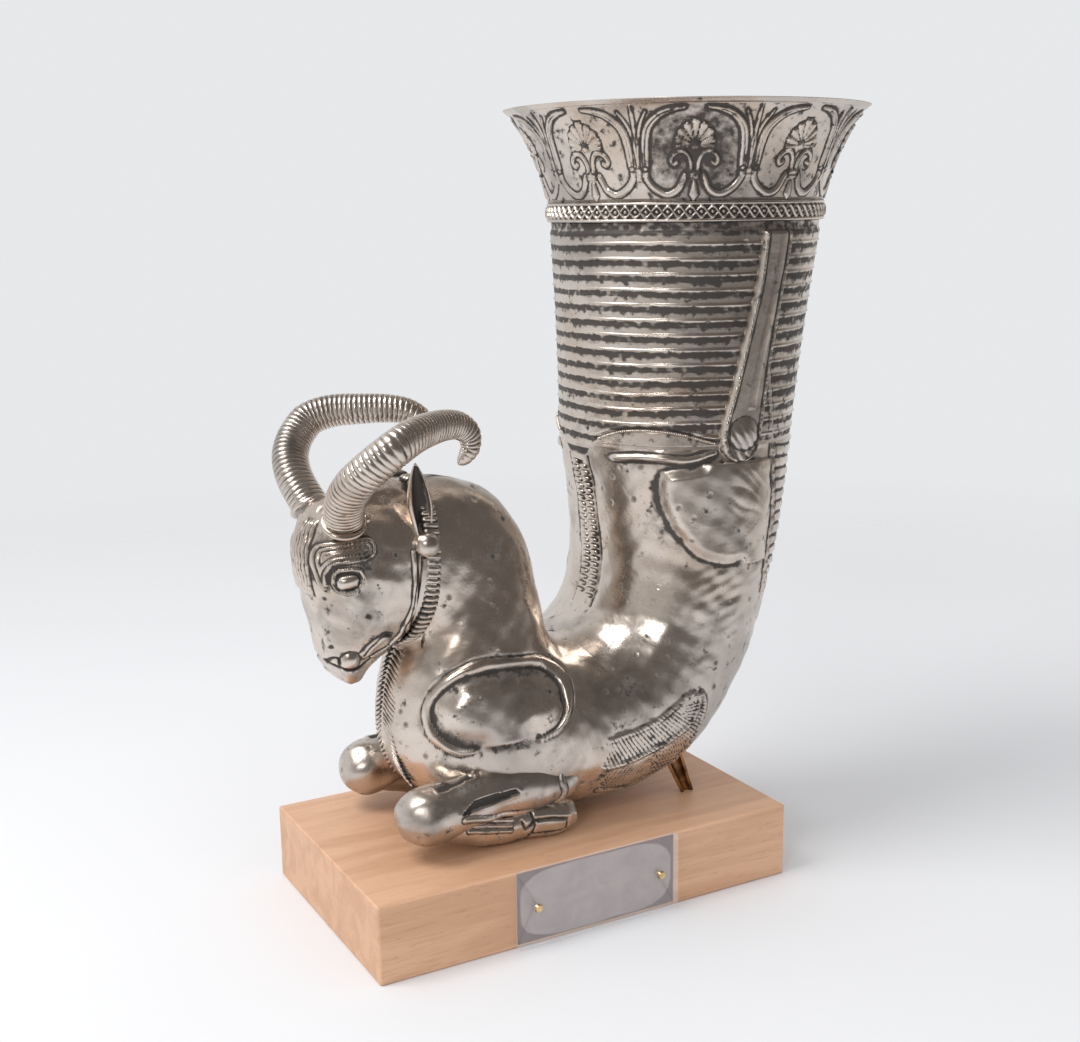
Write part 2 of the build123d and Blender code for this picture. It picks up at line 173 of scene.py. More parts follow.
# Antique silver: worn bright metal, dark oxide in the recesses, pits and hammer marks
silverFinish = {
    "clean": (0.71, 0.638, 0.572),
    "warm": (0.56, 0.45, 0.365),
    "dull": (0.30, 0.265, 0.24),
    "oxide": (0.040, 0.034, 0.031),
    "roughClean": 0.24,
    "roughOxide": 0.55,
    "mottleScale": 42.0,
    "pitScale": 190.0,
    "hammerScale": 34.0,
}


def stainShare(tree, place, mottle, stain):  # a patch where the oxide was left on
    centre, reach, amount = stain
    shift = node(tree, "ShaderNodeVectorMath", operation="SUBTRACT")
    wire(tree, place, shift.inputs[0])
    shift.inputs[1].default_value = centre
    size = node(tree, "ShaderNodeVectorMath", operation="LENGTH")
    wire(tree, shift.outputs["Vector"], size.inputs[0])
    near = maths(tree, "MULTIPLY_ADD", size.outputs["Value"], -1 / reach, 1.0, clamp=True)
    near = maths(tree, "MULTIPLY", near, maths(tree, "MULTIPLY_ADD", mottle, 1.6, 0.2))
    return maths(tree, "MULTIPLY", near, amount)


def pitShare(tree, place, pits):  # round pits in a few of the cells
    cells = node(tree, "ShaderNodeTexVoronoi", feature="F1")
    cells.inputs["Scale"].default_value = silverFinish["pitScale"]
    wire(tree, place, cells.inputs["Vector"])
    pick = tree.nodes.new("ShaderNodeSeparateColor")
    wire(tree, cells.outputs["Color"], pick.inputs[0])
    rare = maths(tree, "GREATER_THAN", pick.outputs[0], 1.0 - 0.16 * pits)
    hole = maths(tree, "MULTIPLY_ADD", cells.outputs["Distance"], -4.2, 1.25, clamp=True)
    return maths(tree, "MULTIPLY", hole, rare)


def silverMaterial(name, tarnish=0.5, pits=0.5, hammer=0.5, stain=None, speckle=0.0):
    material, tree, shader, place = newMaterial(name)
    recess = tree.nodes.new("ShaderNodeAttribute")
    recess.attribute_name = "patina"
    mottle = noise(tree, place, silverFinish["mottleScale"], 6.0, 0.62, 0.4)
    fine = noise(tree, place, silverFinish["mottleScale"] * 6.3, 5.0, 0.6)
    cloudy = noise(tree, place, silverFinish["mottleScale"] * 0.42, 3.0, 0.5, 0.8)

    worn = [(0.26, silverFinish["dull"]), (0.46, silverFinish["clean"]), (0.70, silverFinish["clean"])]
    warmth = ramp(tree, cloudy, [(0.45, grey(0)), (0.72, grey(0.75))], True)
    colour = mixColour(tree, warmth, ramp(tree, mottle, worn), silverFinish["warm"])
    haze = ramp(tree, cloudy, [(0.30, grey(tarnish)), (0.52, grey(0))], True)
    colour = mixColour(tree, haze, colour, silverFinish["dull"])

    grain = maths(tree, "MULTIPLY_ADD", fine, 1.1, -0.55)  # breaks up the edges of the oxide
    dark = maths(tree, "ADD", recess.outputs["Fac"], grain)
    if stain is not None:
        dark = maths(tree, "ADD", dark, stainShare(tree, place, mottle, stain))
    if speckle > 0:
        specks = maths(tree, "MULTIPLY_ADD", fine, 6.0, -3.4, clamp=True)
        dark = maths(tree, "MULTIPLY_ADD", specks, speckle, dark)
    pit = pitShare(tree, place, pits)
    oxide = ramp(tree, dark, [(0.26, grey(0)), (0.80, grey(0.92))], True)
    oxide = maths(tree, "MAXIMUM", oxide, maths(tree, "MULTIPLY", pit, 0.75))

    wire(tree, mixColour(tree, oxide, colour, silverFinish["oxide"]), shader.inputs["Base Color"])
    rough = maths(tree, "MULTIPLY_ADD", mottle, -0.22, silverFinish["roughClean"] + 0.14)
    rough = maths(tree, "MULTIPLY_ADD", haze, 0.16, rough)
    roughening = silverFinish["roughOxide"] - silverFinish["roughClean"]
    wire(tree, maths(tree, "MULTIPLY_ADD", oxide, roughening, rough), shader.inputs["Roughness"])
    wire(tree, maths(tree, "MULTIPLY_ADD", oxide, -0.35, 1.0), shader.inputs["Metallic"])

    dents = noise(tree, place, silverFinish["hammerScale"], 3.0, 0.5, 1.6)
    surface = bump(tree, dents, 0.30 * hammer, 0.0030)
    surface = bump(tree, fine, 0.22, 0.0004, surface)
    wire(tree, bump(tree, pit, 0.8, -0.0004, surface), shader.inputs["Normal"])
    return material


# Beech: pale pink-brown, with fine grain along the board and darker end grain flecks
beechFinish = {
    "light": (0.66, 0.40, 0.25),
    "dark": (0.56, 0.32, 0.19),
    "fleck": (0.40, 0.19, 0.10),
    "rough": 0.48,
}


def beechMaterial(name):
    material, tree, shader, place = newMaterial(name)
    along = stretched(tree, place, (6, 60, 60))
    broad = noise(tree, along, 1.6, 4.0, 0.55, 0.6)
    colour = ramp(tree, broad, [(0.34, beechFinish["dark"]), (0.62, beechFinish["light"])], True)
    hairs = noise(tree, stretched(tree, place, (70, 1500, 1500)), 1.0, 2.0, 0.5)
    rays = noise(tree, stretched(tree, place, (190, 900, 900)), 1.0, 1.0, 0.4)
    for flecks, start, amount in ((hairs, 0.56, 0.35), (rays, 0.66, 0.30)):
        share = ramp(tree, flecks, [(start, grey(0)), (0.74, grey(amount))])
        colour = mixColour(tree, share, colour, beechFinish["fleck"])
    wire(tree, colour, shader.inputs["Base Color"])
    rough = maths(tree, "MULTIPLY_ADD", broad, 0.10, beechFinish["rough"] - 0.05)
    wire(tree, rough, shader.inputs["Roughness"])
    wire(tree, bump(tree, hairs, 0.12, 0.0004), shader.inputs["Normal"])
    return material


# Brass and bronze of the pins and the prop: bright and dull colour, roughness
metalFinishes = {
    "brass": ((0.80, 0.60, 0.30), (0.50, 0.34, 0.15), 0.28),
    "bronze": ((0.42, 0.24, 0.12), (0.13, 0.075, 0.04), 0.38),
}


def metalMaterial(name):
    bright, dull, rough = metalFinishes[name]
    material, tree, shader, place = newMaterial(name)
    patches = noise(tree, place, 160, 4.0, 0.6)
    colour = ramp(tree, patches, [(0.36, dull), (0.60, bright)], True)
    wire(tree, colour, shader.inputs["Base Color"])
    wire(tree, maths(tree, "MULTIPLY_ADD", patches, -0.2, rough + 0.12), shader.inputs["Roughness"])
    shader.inputs["Metallic"].default_value = 1.0
    wire(tree, bump(tree, patches, 0.25, 0.0003), shader.inputs["Normal"])
    return material


# Card of the plaque: a pale oval on a darker ground
cardFinish = {
    "field": (0.42, 0.36, 0.35),
    "corner": (0.20, 0.15, 0.145),
    "reach": (0.0345, 0.0145),  # half width and half height of the oval
}


def cardMaterial(name):
    low, high = cadBox("plaque_card")
    middle = (low + high) / 2 * mm
    material, tree, shader, place = newMaterial(name)
    half = cardFinish["reach"]
    centred = node(tree, "ShaderNodeMapping")
    centred.inputs["Location"].default_value = (-middle[0] / half[0], 0, -middle[2] / half[1])
    centred.inputs["Scale"].default_value = (1 / half[0], 0, 1 / half[1])
    wire(tree, place, centred.inputs["Vector"])
    apart = tree.nodes.new("ShaderNodeSeparateXYZ")
    wire(tree, centred.outputs["Vector"], apart.inputs[0])
    across = maths(tree, "POWER", maths(tree, "ABSOLUTE", apart.outputs[0]), 5.0)
    up = maths(tree, "POWER", maths(tree, "ABSOLUTE", apart.outputs[2]), 3.0)
    oval = maths(tree, "ADD", across, up)
    patches = noise(tree, place, 130, 4.0, 0.6, 0.5)
    edge = maths(tree, "MULTIPLY_ADD", patches, 0.25, oval)
    outer = ramp(tree, edge, [(0.90, grey(0)), (1.02, grey(1))])
    colour = mixColour(tree, outer, cardFinish["field"], cardFinish["corner"])
    blots = ramp(tree, patches, [(0.35, grey(0.25)), (0.6, grey(0))])
    colour = mixColour(tree, blots, colour, cardFinish["corner"])
    wire(tree, colour, shader.inputs["Base Color"])
    wire(tree, maths(tree, "MULTIPLY_ADD", patches, 0.2, 0.45), shader.inputs["Roughness"])
    return material


def acrylicMaterial(name):
    material, tree, shader, place = newMaterial(name)
    shader.inputs["Base Color"].default_value = (0.97, 0.98, 0.99, 1)
    shader.inputs["Alpha"].default_value = 0.12
    shader.inputs["IOR"].default_value = 1.49
    scratches = noise(tree, stretched(tree, place, (300, 300, 2200)), 1.0, 2.0, 0.5)
    wire(tree, maths(tree, "MULTIPLY_ADD", scratches, 0.06, 0.0), shader.inputs["Roughness"])
    return material


def dress(name, material):  # gives a CAD node its finish
    cadNodes[name].data.materials.clear()
    cadNodes[name].data.materials.append(material)


# Studio: pale floor that fades into the pale surround, two soft lamps and a dim room
studio = {
    "floorColour": (0.715, 0.715, 0.725),
    "surround": (0.80, 0.81, 0.825),
    "room": (0.120, 0.104, 0.094),
    "wall": (0.49, 0.465, 0.44),
    "floorReach": (0.25, 0.95),
    "keyPlace": (-0.62, 0.05, 1.05),
    "keySize": 0.60,
    "keyPower": 8.0,
    "fillPlace": (-1.0, -0.9, 0.75),
    "fillSize": 0.35,
    "fillPower": 3.0,
    "aim": (0.02, 0, 0.13),
}


def addStudio():
    world = bpy.data.worlds.new("surround")
    bpy.context.scene.world = world
    world.use_nodes = True
    tree = world.node_tree
    tree.nodes.clear()
    shade = tree.nodes.new("ShaderNodeBackground")
    wire(tree, shade.outputs[0], tree.nodes.new("ShaderNodeOutputWorld").inputs["Surface"])
    way = tree.nodes.new("ShaderNodeTexCoord").outputs["Generated"]
    toRoom = node(tree, "ShaderNodeVectorMath", operation="DOT_PRODUCT")
    wire(tree, way, toRoom.inputs[0])
    toRoom.inputs[1].default_value = Vector((0.10, -0.55, 0.55)).normalized()
    facing = maths(tree, "MULTIPLY_ADD", toRoom.outputs["Value"], 0.5, 0.5)
    walls = [(0.40, studio["surround"]), (0.58, studio["wall"]), (0.78, studio["room"])]
    colour = ramp(tree, facing, walls, True)
    glossy = tree.nodes.new("ShaderNodeLightPath").outputs["Is Glossy Ray"]  # only the metal sees the room
    wire(tree, mixColour(tree, glossy, studio["surround"], colour), shade.inputs["Color"])

    mesh = bpy.data.meshes.new("floor")
    reach = studio["floorReach"][1] * 1.2
    corners = [(-reach, -reach, 0), (reach, -reach, 0), (reach, reach, 0), (-reach, reach, 0)]
    mesh.from_pydata(corners, [], [(0, 1, 2, 3)])
    floor = bpy.data.objects.new("floor", mesh)
    bpy.context.scene.collection.objects.link(floor)
    material, tree, shader, place = newMaterial("paper")
    paler = tuple(c * 1.03 for c in studio["floorColour"])
    tint = ramp(tree, noise(tree, place, 3.0, 2.0, 0.5), [(0.3, studio["floorColour"]), (0.7, paler)])
    wire(tree, tint, shader.inputs["Base Color"])
    shader.inputs["Roughness"].default_value = 0.9
    shader.inputs["Specular IOR Level"].default_value = 0.1
    far = node(tree, "ShaderNodeVectorMath", operation="LENGTH")
    wire(tree, place, far.inputs[0])
    near, end = studio["floorReach"]
    width = end - near
    fade = maths(tree, "MULTIPLY_ADD", far.outputs["Value"], -1 / width, end / width, clamp=True)
    wire(tree, fade, shader.inputs["Alpha"])
    mesh.materials.append(material)

    for name in ("key", "fill"):
        lamp = bpy.data.lights.new(name, "AREA")
        lamp.shape, lamp.size = "DISK", studio[name + "Size"]
        lamp.energy = studio[name + "Power"]
        thing = bpy.data.objects.new(name, lamp)
        bpy.context.scene.collection.objects.link(thing)
        thing.location = studio[name + "Place"]
        aim = Vector(studio["aim"]) - thing.location
        thing.rotation_euler = aim.to_track_quat("-Z", "Y").to_euler()
    bpy.context.scene.view_settings.view_transform = "Standard"


addCamera()
addStudio()
print("camera and studio set")


# Meshes made from rows of points
def meshObject(name, points, faces, patina):  # points in millimetres
    mesh = bpy.data.meshes.new(name)
    mesh.from_pydata((np.asarray(points) * mm).tolist(), [], faces)
    shade = mesh.attributes.new("patina", "FLOAT", "POINT")
    shade.data.foreach_set("value", np.asarray(patina, np.float32).ravel())
    mesh.shade_smooth()
    thing = bpy.data.objects.new(name, mesh)
    bpy.context.scene.collection.objects.link(thing)
    return thing


def gridFaces(rows, columns, rowLoop=False, columnLoop=True):
    r = np.arange(rows if rowLoop else rows - 1)
    c = np.arange(columns if columnLoop else columns - 1)
    first, second = np.meshgrid(r, c, indexing="ij")
    nextRow, nextColumn = (first + 1) % rows, (second + 1) % columns
    near, far = first * columns, nextRow * columns
    corners = [near + second, near + nextColumn, far + nextColumn, far + second]
    return np.stack(corners, -1).reshape(-1, 4).tolist()


def outward(thing):  # turns the faces of a closed mesh outwards
    mesh = thing.data
    mesh.calc_loop_triangles()
    places = np.array([v.co[:] for v in mesh.vertices])
    corners = places[np.array([t.vertices[:] for t in mesh.loop_triangles])]
    volume = np.einsum("ij,ij->i", corners[:, 0], np.cross(corners[:, 1], corners[:, 2])).sum()
    if volume < 0:
        mesh.flip_normals()
    return thing


def tubeObject(name, points, patina):  # rows of rings; each end closed with one middle point
    rows, columns = points.shape[:2]
    flat = np.vstack([points.reshape(-1, 3), points[0].mean(0), points[-1].mean(0)])
    shade = np.append(patina, [patina[0, 0], patina[-1, -1]])
    faces = gridFaces(rows, columns)
    first, last = rows * columns, rows * columns + 1
    for c in range(columns):
        after = (c + 1) % columns
        faces.append((first, after, c))
        faces.append((last, (rows - 1) * columns + c, (rows - 1) * columns + after))
    thing = meshObject(name, flat, faces, shade)
    for edge in thing.data.edges:  # crisp ends, so that neighbouring shells read as one surface
        low, high = sorted(edge.vertices)
        if high < columns or (low >= (rows - 1) * columns and high < rows * columns):
            edge.use_edge_sharp = True
    return outward(thing)


def through(rows, steps):  # smooth rows through the given ones, steps per span
    rows = np.array(rows, float)
    wide = np.vstack([2 * rows[0] - rows[1], rows, 2 * rows[-1] - rows[-2]])
    t = (np.arange(steps) / steps)[:, None]
    spans = []
    for a, b, c, d in zip(wide, wide[1:], wide[2:], wide[3:]):
        bend, twist = 2 * a - 5 * b + 4 * c - d, 3 * b - a - 3 * c + d
        spans.append(0.5 * (2 * b + (c - a) * t + bend * t ** 2 + twist * t ** 3))
    return np.vstack(spans + [rows[-1:]])


def evenRows(rows, count):  # the same curve with rows at even distances
    rows = through(rows, 24)
    travel = np.append(0, np.cumsum(np.linalg.norm(np.diff(rows, axis=0), axis=1)))
    places = np.linspace(0, travel[-1], count)
    return np.stack([np.interp(places, travel, rows[:, k]) for k in range(rows.shape[1])], -1)


def gridNormals(points):
    along = np.gradient(points, axis=0)
    around = np.roll(points, -1, 1) - np.roll(points, 1, 1)
    normal = np.cross(along, around)
    length = np.linalg.norm(normal, axis=-1, keepdims=True)
    normal = normal / np.where(length < 1e-9, 1, length)
    out = points - points.mean(axis=1, keepdims=True)
    return normal * np.where((normal * out).sum(-1).mean() < 0, -1, 1)


def blurred(height, reach):  # box blur, three times over, of a grid whose columns join up
    for _ in range(3):
        for axis in (0, 1):
            pad = [(0, 0), (0, 0)]
            pad[axis] = (reach, reach)
            mode = "wrap" if axis == 1 else "edge"
            total = np.cumsum(np.pad(height, pad, mode=mode), axis=axis)
            zero = np.zeros_like(np.take(total, [0], axis))
            total = np.concatenate([zero, total], axis)
            width = 2 * reach + 1
            low = np.take(total, np.arange(height.shape[axis]), axis)
            high = np.take(total, np.arange(height.shape[axis]) + width, axis)
            height = (high - low) / width
    return height


def cavity(height, reach, depth):  # 1 where the surface lies that deep below its surroundings
    return np.clip((blurred(height, reach) - height) / depth, 0, 1)


# Relief drawn with lines: distances are in millimetres
def smoothLine(points, steps=10):
    return through(points, steps)


def lineField(x, y, line):  # distance to a line, and how far along it (0..1)
    line = np.asarray(line, float)
    best = np.full(x.shape, 1e9)
    share = np.zeros(x.shape)
    spans = np.linalg.norm(np.diff(line, axis=0), axis=1)
    travel = np.append(0, np.cumsum(spans))
    for k, (a, b) in enumerate(zip(line, line[1:])):
        d = b - a
        if spans[k] < 1e-9:
            continue
        t = np.clip(((x - a[0]) * d[0] + (y - a[1]) * d[1]) / spans[k] ** 2, 0, 1)
        dx, dy = x - a[0] - t * d[0], y - a[1] - t * d[1]
        away = dx * dx + dy * dy
        near = away < best
        best = np.where(near, away, best)
        share = np.where(near, (travel[k] + t * spans[k]) / travel[-1], share)
    return np.sqrt(best), share


def rounded(distance, width):  # half-round bar of height 1
    return np.sqrt(np.clip(1 - (distance / width) ** 2, 0, None))


def soft(distance, width):  # bell of height 1
    return np.exp(-(distance / width) ** 2)


def drawRidge(relief, dark, away, mask, form):  # a raised bar with oxide beside it
    width, height, shade, gap, reach = form
    relief += mask * height * rounded(away, width)
    return relief, np.maximum(dark, mask * shade * soft(away - gap, reach))


def drawGroove(relief, dark, away, mask, form):  # a sunk line filled with oxide
    width, depth, shade, gap, reach = form
    relief -= mask * depth * soft(away, width)
    return relief, np.maximum(dark, mask * shade * soft(away - gap, reach))


def ease(value):  # 0..1 with soft ends
    value = np.clip(value, 0, 1)
    return value * value * (3 - 2 * value)


def inside(x, y, outline):  # True inside a closed outline
    found = np.zeros(x.shape, bool)
    outline = np.asarray(outline, float)
    for a, b in zip(outline, np.roll(outline, -1, 0)):
        crosses = (a[1] > y) != (b[1] > y)
        if a[1] != b[1]:
            found ^= crosses & (x < (b[0] - a[0]) * (y - a[1]) / (b[1] - a[1]) + a[0])
    return found


def faded(relief, start, end):  # eased to nothing over the first and the last rows
    steps = np.arange(len(relief))[:, None]
    return relief * ease(steps / start) * ease((len(relief) - 1 - steps) / end)


def wobble(points, size, reach, seed):  # slow uneven hand-made waves, the same on every run
    rng = np.random.default_rng(seed)
    total = np.zeros(points.shape[:-1])
    for _ in range(7):
        way = rng.normal(size=3)
        way *= rng.uniform(0.6, 1.5) / (reach * np.linalg.norm(way))
        total += np.sin(points @ way * 2 * math.pi + rng.uniform(0, 2 * math.pi))
    return total * size / 3


# Units set out along a row by Geometry Nodes: one unit on each point, turned by
# the point's attributes along (its Z) and across (its X) and scaled by its size
def unitTree():
    tree = bpy.data.node_groups.new("unitsOnPoints", "GeometryNodeTree")
    sockets = {"Geometry": "Geometry", "Unit": "Object", "Weld distance": "Float", "Finish": "Material"}
    for name, kind in sockets.items():
        tree.interface.new_socket(name, in_out="INPUT", socket_type="NodeSocket" + kind)
    tree.interface.new_socket("Geometry", in_out="OUTPUT", socket_type="NodeSocketGeometry")
    start, end = tree.nodes.new("NodeGroupInput"), tree.nodes.new("NodeGroupOutput")
    unit = tree.nodes.new("GeometryNodeObjectInfo")
    wire(tree, start.outputs["Unit"], unit.inputs["Object"])

    def named(name):
        read = tree.nodes.new("GeometryNodeInputNamedAttribute")
        read.data_type = "FLOAT_VECTOR"
        read.inputs["Name"].default_value = name
        return read.outputs["Attribute"]

    first = tree.nodes.new("FunctionNodeAlignRotationToVector")
    first.axis = "Z"
    wire(tree, named("along"), first.inputs["Vector"])
    second = tree.nodes.new("FunctionNodeAlignRotationToVector")
    second.axis, second.pivot_axis = "X", "Z"
    wire(tree, first.outputs[0], second.inputs["Rotation"])
    wire(tree, named("across"), second.inputs["Vector"])
    spread = tree.nodes.new("GeometryNodeInstanceOnPoints")
    wire(tree, start.outputs["Geometry"], spread.inputs["Points"])
    wire(tree, unit.outputs["Geometry"], spread.inputs["Instance"])
    wire(tree, second.outputs[0], spread.inputs["Rotation"])
    wire(tree, named("size"), spread.inputs["Scale"])
    real = tree.nodes.new("GeometryNodeRealizeInstances")
    wire(tree, spread.outputs[0], real.inputs[0])
    weld = tree.nodes.new("GeometryNodeMergeByDistance")
    wire(tree, real.outputs[0], weld.inputs["Geometry"])
    wire(tree, start.outputs["Weld distance"], weld.inputs["Distance"])
    finish = tree.nodes.new("GeometryNodeSetMaterial")
    wire(tree, weld.outputs[0], finish.inputs["Geometry"])
    wire(tree, start.outputs["Finish"], finish.inputs["Material"])
    wire(tree, finish.outputs[0], end.inputs[0])
    return tree


unitsOnPoints = unitTree()


def setInputs(modifier, **values):  # by socket name, written with the socket's identifier
    for item in modifier.node_group.interface.items_tree:
        key = item.name.replace(" ", "_")
        if item.item_type == "SOCKET" and item.in_out == "INPUT" and key in values:
            modifier[item.identifier] = values[key]


def placeUnits(name, unit, places, alongs, acrosses, sizes, finish, weld=0.0):
    places = np.asarray(places, float)
    mesh = bpy.data.meshes.new(name)
    mesh.from_pydata((places * mm).tolist(), [], [])
    sizes = np.broadcast_to(np.asarray(sizes, float), places.shape)
    for key, values in (("along", alongs), ("across", acrosses), ("size", sizes)):
        values = np.broadcast_to(np.asarray(values, float), places.shape)
        rows = mesh.attributes.new(key, "FLOAT_VECTOR", "POINT").data
        rows.foreach_set("vector", np.ascontiguousarray(values, np.float32).ravel())
    thing = bpy.data.objects.new(name, mesh)
    bpy.context.scene.collection.objects.link(thing)
    modifier = thing.modifiers.new("units", "NODES")
    modifier.node_group = unitsOnPoints
    setInputs(modifier, Unit=unit, Finish=finish, Weld_distance=weld * mm)
    return baked(thing)


def baked(thing):  # the evaluated result as a plain mesh, without its modifiers
    evaluated = thing.evaluated_get(bpy.context.evaluated_depsgraph_get())
    mesh = bpy.data.meshes.new_from_object(evaluated)
    thing.modifiers.clear()
    thing.data = mesh
    mesh.name = thing.name
    mesh.shade_smooth()
    return thing


def discard(thing):
    mesh = thing.data
    bpy.data.objects.remove(thing)
    bpy.data.meshes.remove(mesh)


def seat(thing, material, *nodes):  # hands a finished piece to the frame
    if material is not None:
        thing.data.materials.clear()
        thing.data.materials.append(material)
    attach(thing, "root")
    if nodes:
        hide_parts(*nodes)
    print(thing.name, len(thing.data.polygons), "faces")
    return thing


# A small domed bar: a millimetre long in X, wide in Y and high in Z, its foot at Z zero
def barUnit(name, ends, rings, patina):
    points, shade = [], []
    turns = 4 * ends
    for ring in range(rings + 1):
        out = math.cos(0.5 * math.pi * ring / (rings + 0.35))
        up = math.sin(0.5 * math.pi * ring / (rings + 0.35))
        for k in range(turns):
            turn = 2 * math.pi * k / turns
            x = math.copysign(abs(math.cos(turn)) ** 0.55, math.cos(turn))
            y = math.copysign(abs(math.sin(turn)) ** 0.55, math.sin(turn))
            points.append((0.5 * x * out, 0.5 * y * out, up))
            shade.append(patina * (1 - up))
    points = [(x, y, -0.4) for x, y, _ in points[:turns]] + points
    shade = [patina] * turns + shade
    faces = gridFaces(rings + 2, turns)
    faces.append(list(range(turns))[::-1])
    faces.append([(rings + 1) * turns + k for k in range(turns)])
    return outward(meshObject(name, np.array(points), faces, shade))


# The drinking cup: level circles on a leaning axis, fluted, with the edge of the
# flank panel and the ridge where the back flutes begin raised on it
cup = {
    "footX": 72.4, "footZ": 178.0, "lean": 4.4, "height": 84.0,
    "footRadius": 47.2, "topRadius": 54.2, "sheet": 1.4,
    "pitch": 5.6, "firstRidge": 181.4, "fluteDepth": 1.0,
    "rows": 216, "columns": 390, "boreRows": 7, "tongueOut": 30.0,
}
panelEdge = [
    (26.5, -11, 178), (27.6, -15, 180.5), (29.6, -20, 182.6), (32.9, -25.9, 184.3), (37.7, -32.1, 184.8),
    (43.5, -37.5, 184.3), (49.3, -41.3, 183.1), (54.4, -43.8, 181.4), (59.9, -45.6, 179.7), (72, -47, 176.0),
]
tongueEdge = [
    (84, 243.8), (82.9, 234.1), (82.2, 217.3), (82.5, 208.4), (84.4, 199.1), (86.2, 189.8), (88, 178),
]


def cupSize(z):
    t = np.clip((z - cup["footZ"]) / cup["height"], 0, 1)
    radius = cup["footRadius"] + (cup["topRadius"] - cup["footRadius"]) * (0.6 * t + 0.4 * t ** 2)
    return cup["footX"] + cup["lean"] * t, radius


def fluteRelief(z):  # sharp clean ridge over an oxidised hollow, with a painted shadow just under each ridge, repeated up the cup
    phase = np.mod((z - cup["firstRidge"]) / cup["pitch"], 1)
    apart = np.minimum(phase, 1 - phase) * cup["pitch"]
    hollow = np.sin(math.pi * phase)
    below = np.where(phase > 0.5, (1 - phase) * cup["pitch"], 10.5)  # how far under the next ridge, where the painted shadow lies
    # dark: a painted shadow under each ridge, plus oxide in the hollow
    dark = np.clip(1.25 * soft(below - 1.5, 1.0) + 0.55 * hollow ** 3, 0, 1)
    return 0.55 * soft(apart, 0.5) - 0.9 * hollow ** 1.4, dark


def beakerRelief(x, y, z, axis):
    wall = np.stack([x, y, z], -1)
    wave = wobble(wall, 0.9, 60, 3)
    # dark holds oxide in the flutes and a painted shadow under each ridge
    relief, dark = fluteRelief(z + 0.35 * wave)

    around = np.degrees(np.arctan2(np.abs(y), -(x - axis)))  # 0 at the goat's side
    edge = np.array(panelEdge)
    edgeTurn = np.degrees(np.arctan2(np.abs(edge[:, 1]), -(edge[:, 0] - cup["footX"])))
    above = z - np.interp(around, edgeTurn, edge[:, 2], left=170, right=170)
    panel = ease(-above / 1.2)  # smooth below its edge
    relief = relief * (1 - panel) + panel * (0.25 + 0.15 * wave)
    dark = dark * (1 - panel) + 0.25 * panel
    relief = np.maximum(relief, 0.55 * soft(above - 1.3, 0.5))
    dark = np.maximum(dark, 0.9 * soft(above - 0.1, 0.5))

    line = lineField(x, z, smoothLine(tongueEdge))[0]
    flank = np.abs(y) > cup["tongueOut"]  # the flutes' ridge shows on the sides only
    relief = np.where(flank, np.maximum(relief, 0.9 * rounded(line, 0.9)), relief)
    dark = np.where(flank, np.maximum(dark * (line > 0.7), 0.9 * soft(line - 1.4, 0.5)), dark)
    top = ease((z - 257.5) / 2.5)  # tucks in under the collar
    relief = relief * (1 - top) - 0.8 * top
    dark = np.maximum(dark, 0.8 * top)
    front = 0.5 + 0.5 * np.cos(np.radians(around))
    tone = 0.52 + 0.42 * front + 0.22 * wobble(wall, 1, 3.2, 6)
    return relief, np.clip(dark * tone + 0.12 * wobble(wall, 1, 22, 5), 0, 1)


def makeBeaker():
    zs = np.linspace(cup["footZ"], cup["footZ"] + cup["height"], cup["rows"])
    turn = np.linspace(0, 2 * math.pi, cup["columns"], endpoint=False)
    z, a = np.meshgrid(zs, turn, indexing="ij")
    axis, radius = cupSize(z)
    relief, dark = beakerRelief(axis + radius * np.cos(a), radius * np.sin(a), z, axis)
    out = radius + relief
    outside = np.stack([axis + out * np.cos(a), out * np.sin(a), z], -1)
    z, a = np.meshgrid(np.linspace(zs[-1], zs[0], cup["boreRows"]), turn, indexing="ij")
    axis, radius = cupSize(z)
    bore = radius - cup["fluteDepth"] - cup["sheet"]
    inner = np.stack([axis + bore * np.cos(a), bore * np.sin(a), z], -1)
    points = np.concatenate([outside, inner])
    shade = np.concatenate([dark, np.full(bore.shape, 0.3)])
    faces = gridFaces(len(points), cup["columns"], rowLoop=True)
    return outward(meshObject("beaker", points.reshape(-1, 3), faces, shade))


def ringTile(name, outside, bore, shade, boreShade):  # one repeat of a ring, open at its two sides
    points = np.concatenate([outside, bore])
    shade = np.concatenate([shade, np.full((len(bore), shade.shape[1]), boreShade)])
    faces = gridFaces(len(points), points.shape[1], rowLoop=True, columnLoop=False)
    tile = meshObject(name, points.reshape(-1, 3), faces, shade)
    tile.data.flip_normals()
    return tile


def tileRing(name, tile, form, turns):  # one tile at each turn about the upright axis, welded
    across = np.stack([np.cos(turns), np.sin(turns), 0 * turns], -1)
    middles = [(form["middleX"], 0, 0)] * len(turns)
    ring = placeUnits(name, tile, middles, (0, 0, 1), across, 1.0, silver[name], form["weld"])
    discard(tile)
    return ring


# Collar: two strands that cross between plain beads, with a round eye in each loop
collar = {
    "low": 262.0, "high": 269.4, "radius": 54.6, "bore": 52.0, "middleX": 76.8,
    "repeats": 84, "columns": 16, "rows": 26, "weld": 0.02,
    "beadHeight": 3.05, "beadWidth": 0.68, "strandWidth": 0.62, "swing": 1.9, "lift": 0.28,
    "eyeWidth": 0.72, "tileWidth": 4.1,
}


